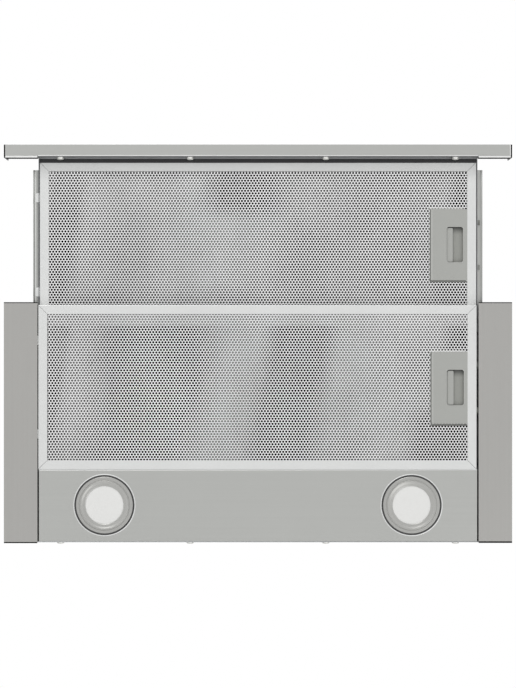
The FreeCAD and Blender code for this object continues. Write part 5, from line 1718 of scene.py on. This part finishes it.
@dataclass
class Casing:
    """The sheet-metal casing, its deck and the fan housing. Lengths in millimetres."""

    box_half: float = 170.0
    box_y: Span = (-30.0, 215.0)
    deck: float = 78.0
    box_top: float = 205.0
    rivet_radius: float = 2.6
    rivet_xs: tuple[float, ...] = (-150.0, -75.0, 0.0, 75.0, 150.0)
    rivet_ys: tuple[float, ...] = (-20.0, 38.0, 96.0, 154.0, 205.0)
    collar_centre: Span = (0.0, 116.0)
    gland_seat: float = 5.0
    shade_line_x: Span = (259.6, 298.9)
    shade_line_z: Span = (-0.04, 1.5)
    # Black lines of painted shade at the side strips' ends, and a black strip of painted shade in the
    # right gap.
    front_shade_line_y: Span = (-49.68, -48.6)
    rear_shade_line_y: tuple[Span, Span] = ((232.4, 233.8), (231.6, 233.5))
    gap_shade: tuple[Span, Span, Span] = ((256.0, 269.4), (12.4, 150.0), (50.0, 52.0))

    def rivets(self, finishes: Finishes) -> None:
        """Model one low rivet head and repeat it along the housing's foot flanges."""
        radius = self.rivet_radius
        profile = [(radius, -0.4), (radius, 0.0)]
        profile += [(radius * 0.96, 0.25), (radius * 0.75, 0.6), (radius * 0.35, 0.8)]
        first = smooth(lathe("rivet", profile, 20, solid=True), 50)
        foot_x, foot_z = self.box_half + 5.0, self.deck + 0.8
        foot_ys = (self.box_y[0] - 4.6, self.box_y[1] + 4.6)
        places = [(side * foot_x, y, foot_z) for side in (-1, 1) for y in self.rivet_ys]
        places += [(x, y, foot_z) for x in self.rivet_xs for y in foot_ys]
        heads = repeated(first, "housing_rivets", places)
        fit(heads, "casing", finishes.screw)

    def collar(self, finishes: Finishes) -> None:
        """Model the duct collar with its rib, bead and rounded lip."""
        foot = [(57.7, 0.0), (66.0, 0.0), (66.0, 1.6), (65.5, 2.0)]
        root = [(60.6, 2.0), (59.9, 2.6), (59.5, 4.0)]
        bead = [(59.5, 12.0), (60.1, 12.6), (60.1, 13.8), (59.5, 14.4)]
        lip = [(59.5, 32.5), (59.1, 34.2), (58.5, 35.0), (57.8, 34.6), (57.7, 33.8)]
        stop = [(57.7, 9.2), (55.2, 9.2), (57.7, 5.5)]
        profile = raised(foot + root + bead + lip + stop, self.box_top)
        collar = lathe("duct_collar_ring", profile, 96)
        stood(collar, (self.collar_centre[0], self.collar_centre[1], 0.0))
        fit(smooth(collar, 40), "casing", finishes.black, ["duct_collar"])

    def gland(self, finishes: Finishes) -> None:
        """Model the cable gland: hexagonal nut, ribbed dome and bored tip."""
        profile = [(4.0, -5.0), (8.0, -5.0), (8.0, 0.0), (10.6, 0.0), (10.6, 6.0), (9.6, 6.2)]
        profile += [(9.9, 7.2), (9.6, 8.4), (9.2, 10.5), (8.6, 13.0), (7.8, 15.4), (7.1, 17.2)]
        profile += [(6.4, 18.0), (4.6, 18.0), (4.0, 17.4)]
        dome = lathe("gland_dome", profile, 36)
        put_down()
        size = {"radius": 11.0 * MM, "depth": 6.0 * MM}
        bpy.ops.mesh.primitive_cylinder_add(vertices=6, location=metres(0.0, 0.0, 3.0), **size)
        nut = just_added("gland_nut")
        round_edges(nut, 0.5, any_edge)
        bore = lathe("bore", [(9.8, -2.0), (9.8, 8.0)], 24, solid=True)
        cut_away(nut, bore)
        piece = joined("cable_gland_body", [dome, nut])
        low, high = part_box("cable_gland")
        centre = ((low.x + high.x) / 2 / MM, low.y / MM + self.gland_seat, (low.z + high.z) / 2 / MM)
        stood(piece, centre, (-90.0, 0.0, 0.0))
        fit(smooth(piece, 32), "casing", finishes.black, ["cable_gland"])

    def shade_lines(self, finishes: Finishes) -> None:
        """Model black lines of painted shade on both ends of the side strips, and a black strip of
        painted shade in the gap on the right.
        """
        pieces = []
        for side, rear_y in zip((-1, 1), self.rear_shade_line_y):
            across = tuple(side * x for x in self.shade_line_x)
            for y in (self.front_shade_line_y, rear_y):
                pieces.append(bar_of("shade_line", across, y, self.shade_line_z, 0.04))
        fit(joined("side_strip_shade_line", pieces), "casing", finishes.shade_black)
        gap_shade = bar_of("gap_shade_right", *self.gap_shade, 0.4)
        fit(gap_shade, "casing", finishes.shade_black)

    def build(self, finishes: Finishes) -> None:
        """Build the covers, panels, housing and what stands on the deck."""
        for side in ("left", "right"):
            cover = "side_cover_" + side
            stand_in("side_strip_" + side, cover, "casing", finishes.strip, 0.35)
            panel = "side_panel_" + side
            stand_in("side_sheet_" + side, panel, "casing", finishes.galvanised, 0.25)
        for name, node, width in (
            ("rear_sheet", "back_panel", 0.2),
            ("deck_sheet", "top_deck", 0.2),
            ("front_beam", "front_crossmember", 0.25),
            ("fan_box", "motor_housing", 0.3),
            ("fan_box_sides", "motor_housing_sides", 0.3),
            ("cabinet_ears", "cabinet_brackets", 0.5),
            ("motor_strap", "motor_bracket", 0.3),
        ):
            stand_in(name, node, "casing", finishes.galvanised, width)
        self.rivets(finishes)
        self.collar(finishes)
        self.shade_lines(finishes)
        for name, node, width in (
            ("connection_box", "terminal_box", 0.8),
            ("connection_lid", "terminal_box_lid", 0.7),
        ):
            stand_in(name, node, "casing", finishes.black, width, 3)
        self.gland(finishes)


# ---------------------------------------------------------------- drawer, slides and fan


@dataclass
class DrawerAndSlides:
    """The drawer's sheet metal and the ball-bearing slides. Lengths in millimetres."""

    edge: float = 0.2
    ball_radius: float = 1.9
    reach: float = 1.5
    spread: Span = (0.85, 0.3)

    def balls(self, finishes: Finishes) -> None:
        """Model round balls at the places of the CAD ones."""
        centres = ball_centres(2.2 * self.ball_radius * MM)
        put_down()
        bpy.ops.mesh.primitive_uv_sphere_add(segments=20, ring_count=12, radius=self.ball_radius * MM)
        first = just_added("one_ball")
        places = [tuple(value / MM for value in centre) for centre in centres]
        balls = smooth(repeated(first, "slide_balls", places), 60)
        fit(balls, "ball_cages", finishes.bearing, ["rail_balls"])

    def lengthen(self, rail: Piece) -> None:
        """Bring an inner rail's front end and its outer edge out to their places.

        Args:
            rail: The copy of the inner rail.
        """
        front = min(vertex.co.y for vertex in rail.data.vertices)
        outer = max(abs(vertex.co.x) for vertex in rail.data.vertices)
        side = 1.0 if rail.data.vertices[0].co.x > 0 else -1.0
        with editing(rail, "VERT"):
            pick_vertices(rail, lambda place: place.y < front + self.reach * MM)
            bpy.ops.transform.translate(value=metres(0.0, -self.reach, 0.0))
            pick_vertices(rail, lambda place: abs(place.x) > outer - 0.5 * MM)
            spread = self.spread[0] if side < 0 else self.spread[1]
            bpy.ops.transform.translate(value=metres(side * spread, 0.0, 0.0))

    def build(self, finishes: Finishes) -> None:
        """Build the drawer and the slides."""
        for name, node in (("drawer_sheet", "drawer_frame"), ("drawer_top", "drawer_cover")):
            stand_in(name, node, "drawer", finishes.drawer, self.edge)
        for side, finish in (("left", finishes.rail), ("right", finishes.rail_right)):
            outer = "rail_outer_" + side
            stand_in("slide_outer_" + side, outer, "casing", finish, self.edge)
            inner = softened("slide_inner_" + side, "rail_inner_" + side, self.edge)
            self.lengthen(inner)
            fit(inner, "drawer", finish, ["rail_inner_" + side])
        dress(finishes.rail, "rail_cages")
        self.balls(finishes)


def ball_centres(widest: float) -> list[Vector]:
    """Return the middle of each ball of the CAD node, read from its loose shells.

    Args:
        widest: Points nearer to each other than this belong to one ball, in metres.

    Returns:
        The centres in metres.
    """
    points = [vertex.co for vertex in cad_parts["rail_balls"].data.vertices]
    groups: list[list[Vector]] = []
    for point in points:
        for group in groups:
            if (group[0] - point).length < widest:
                group.append(point)
                break
        else:
            groups.append([point])
    centres = []
    for group in groups:
        low = Vector((min(p[axis] for p in group) for axis in range(3)))
        high = Vector((max(p[axis] for p in group) for axis in range(3)))
        centres.append((low + high) / 2)
    return centres


@dataclass
class FanAndFlaps:
    """The fan in its scroll, the capacitor and the back-draught flaps."""

    plastic_nodes: tuple[str, ...] = (
        "scroll_half_left",
        "scroll_half_right",
        "impeller",
        "flap_left",
        "flap_right",
    )
    steel_nodes: tuple[str, ...] = ("motor_shaft", "flap_pin")

    def build(self, finishes: Finishes) -> None:
        """Give the fan's parts their finishes."""
        dress(finishes.black, *self.plastic_nodes)
        dress(finishes.bearing, *self.steel_nodes)
        dress(finishes.motor, "fan_motor")
        dress(finishes.can, "capacitor")


# ---------------------------------------------------------------- studio


@dataclass
class Studio:
    """Camera straight below the hood, pale floor and soft light. Lengths in metres."""

    distance: float = 2.8
    pixel: float = 0.0011763
    picture_height: int = 688
    sensor: float = 36.0
    centre_y: float = -0.0005
    floor_level: float = -4.6
    floor_size: float = 5.0
    horizon: float = 0.3
    sky: float = 1.0
    haze_from: float = 0.12
    haze_to: float = 0.62
    ground: float = 0.855
    backdrop_slope: float = 4.0

    def camera(self) -> None:
        """Place the camera below, looking straight up, with the hood's front at the picture's top."""
        data = bpy.data.cameras.new("view_from_below")
        data.sensor_width = self.sensor
        data.lens = self.sensor * self.distance / (self.pixel * self.picture_height)
        data.clip_end = 60.0
        camera = bpy.data.objects.new("view_from_below", data)
        bpy.context.scene.collection.objects.link(camera)
        camera.location = (0.0, self.centre_y, -self.distance)
        camera.rotation_euler = (math.pi, 0.0, 0.0)
        bpy.context.scene.camera = camera

    def floor(self) -> None:
        """Lay a plain pale floor far below."""
        put_down()
        bpy.ops.mesh.primitive_plane_add(size=self.floor_size, location=(0.0, 0.0, self.floor_level))
        floor = just_added("studio_floor")
        shop = Shader("studio_floor_paint")
        clouds = shop.noise(0.8)
        floor.data.materials.append(
            shop.finish(Base_Color=shop.shaded(tone(246), 1.0 + (clouds - 0.5) * 0.02), Roughness=0.9)
        )

    def world(self) -> None:
        """Light the room: white above and below, greyer towards the horizon, as between soft boxes.

        The camera itself sees a plain backdrop, white above and as pale as the floor below.
        """
        shop = Shader("soft_room", is_world=True)
        height = shop.part(shop.node("ShaderNodeTexCoord").outputs["Generated"], "Z")
        haze = (self.horizon, self.horizon, self.horizon * 1.01)
        stops = [(self.haze_from, haze), (self.haze_to, (self.sky, self.sky, self.sky))]
        ramp = shop.node("ShaderNodeValToRGB", {"stops": stops}, {0: height.through("ABSOLUTE")})
        stops = [(0.0, (self.ground, self.ground, self.ground)), (1.0, (1.0, 1.0, 1.0))]
        rise = height.through("MULTIPLY_ADD", self.backdrop_slope, 1.0)
        backdrop = shop.node("ShaderNodeValToRGB", {"stops": stops}, {0: rise})
        seen = Number(shop, shop.node("ShaderNodeLightPath").outputs["Is Camera Ray"])
        light = shop.mixed(seen, ramp.outputs[0], backdrop.outputs[0])
        shade = shop.node("ShaderNodeBackground", None, {0: light})
        shop.node("ShaderNodeOutputWorld", None, {0: shade.outputs[0]})
        bpy.context.scene.world = shop.owner

    def lamp(self, name: str, place: Place, size: float, power: float) -> None:
        """Hang one soft square light that faces the hood.

        Args:
            name: Its name.
            place: Where it hangs.
            size: The length of its side.
            power: Its power in watts.
        """
        data = bpy.data.lights.new(name, "AREA")
        data.size = size
        data.energy = power
        light = bpy.data.objects.new(name, data)
        bpy.context.scene.collection.objects.link(light)
        light.location = place
        aim = Vector((0.0, 0.0, 0.05)) - Vector(place)
        light.rotation_euler = aim.to_track_quat("-Z", "Y").to_euler()

    def build(self) -> None:
        """Set up the whole studio."""
        self.camera()
        self.floor()
        self.world()
        self.lamp("front_soft_box", (-0.5, -2.0, -1.9), 1.2, 16.0)
        self.lamp("rear_soft_box", (1.3, 1.6, -2.2), 1.4, 5.0)
        self.lamp("top_soft_box", (-1.2, -1.4, 2.4), 1.6, 30.0)
        bpy.context.scene.view_settings.view_transform = "Standard"


# ---------------------------------------------------------------- whole hood


def main() -> None:
    """Build the studio and every sub-assembly in order."""
    logging.basicConfig(level=logging.INFO, format="%(name)s %(message)s")
    Studio().build()
    finishes = Finishes()
    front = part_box("front_filter_frame")[0]
    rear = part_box("rear_filter_frame")[0]
    parts: list[Any] = [
        Casing(),
        Lamps(),
        DrawerAndSlides(),
        FrontTrim(),
        GreaseFilter(
            "front",
            "drawer",
            "front_latch",
            front.y / MM,
            front.z / MM,
            reach=1.3,
            window_x=(222.9, 242.4),
            latch_shift=-0.6,
            # painted shade along the front bar
            front_bar_shade=0.17,
            zones=FRONT_SHADE_ZONES,
        ),
        GreaseFilter(
            "rear",
            "rear_filter",
            "rear_latch",
            rear.y / MM,
            rear.z / MM,
            shift=-0.7,
            reach=-0.6,
            latch_shift=1.0,
            shadow_y=(43.9, 45.8),
            zones=REAR_SHADE_ZONES,
            pale=1.0,
        ),
        Fasteners(),
        FanAndFlaps(),
    ]
    for part in parts:
        part.build(finishes)
        log.info("%s done", type(part).__name__)
    put_down()


if __name__ == "__main__":
    main()
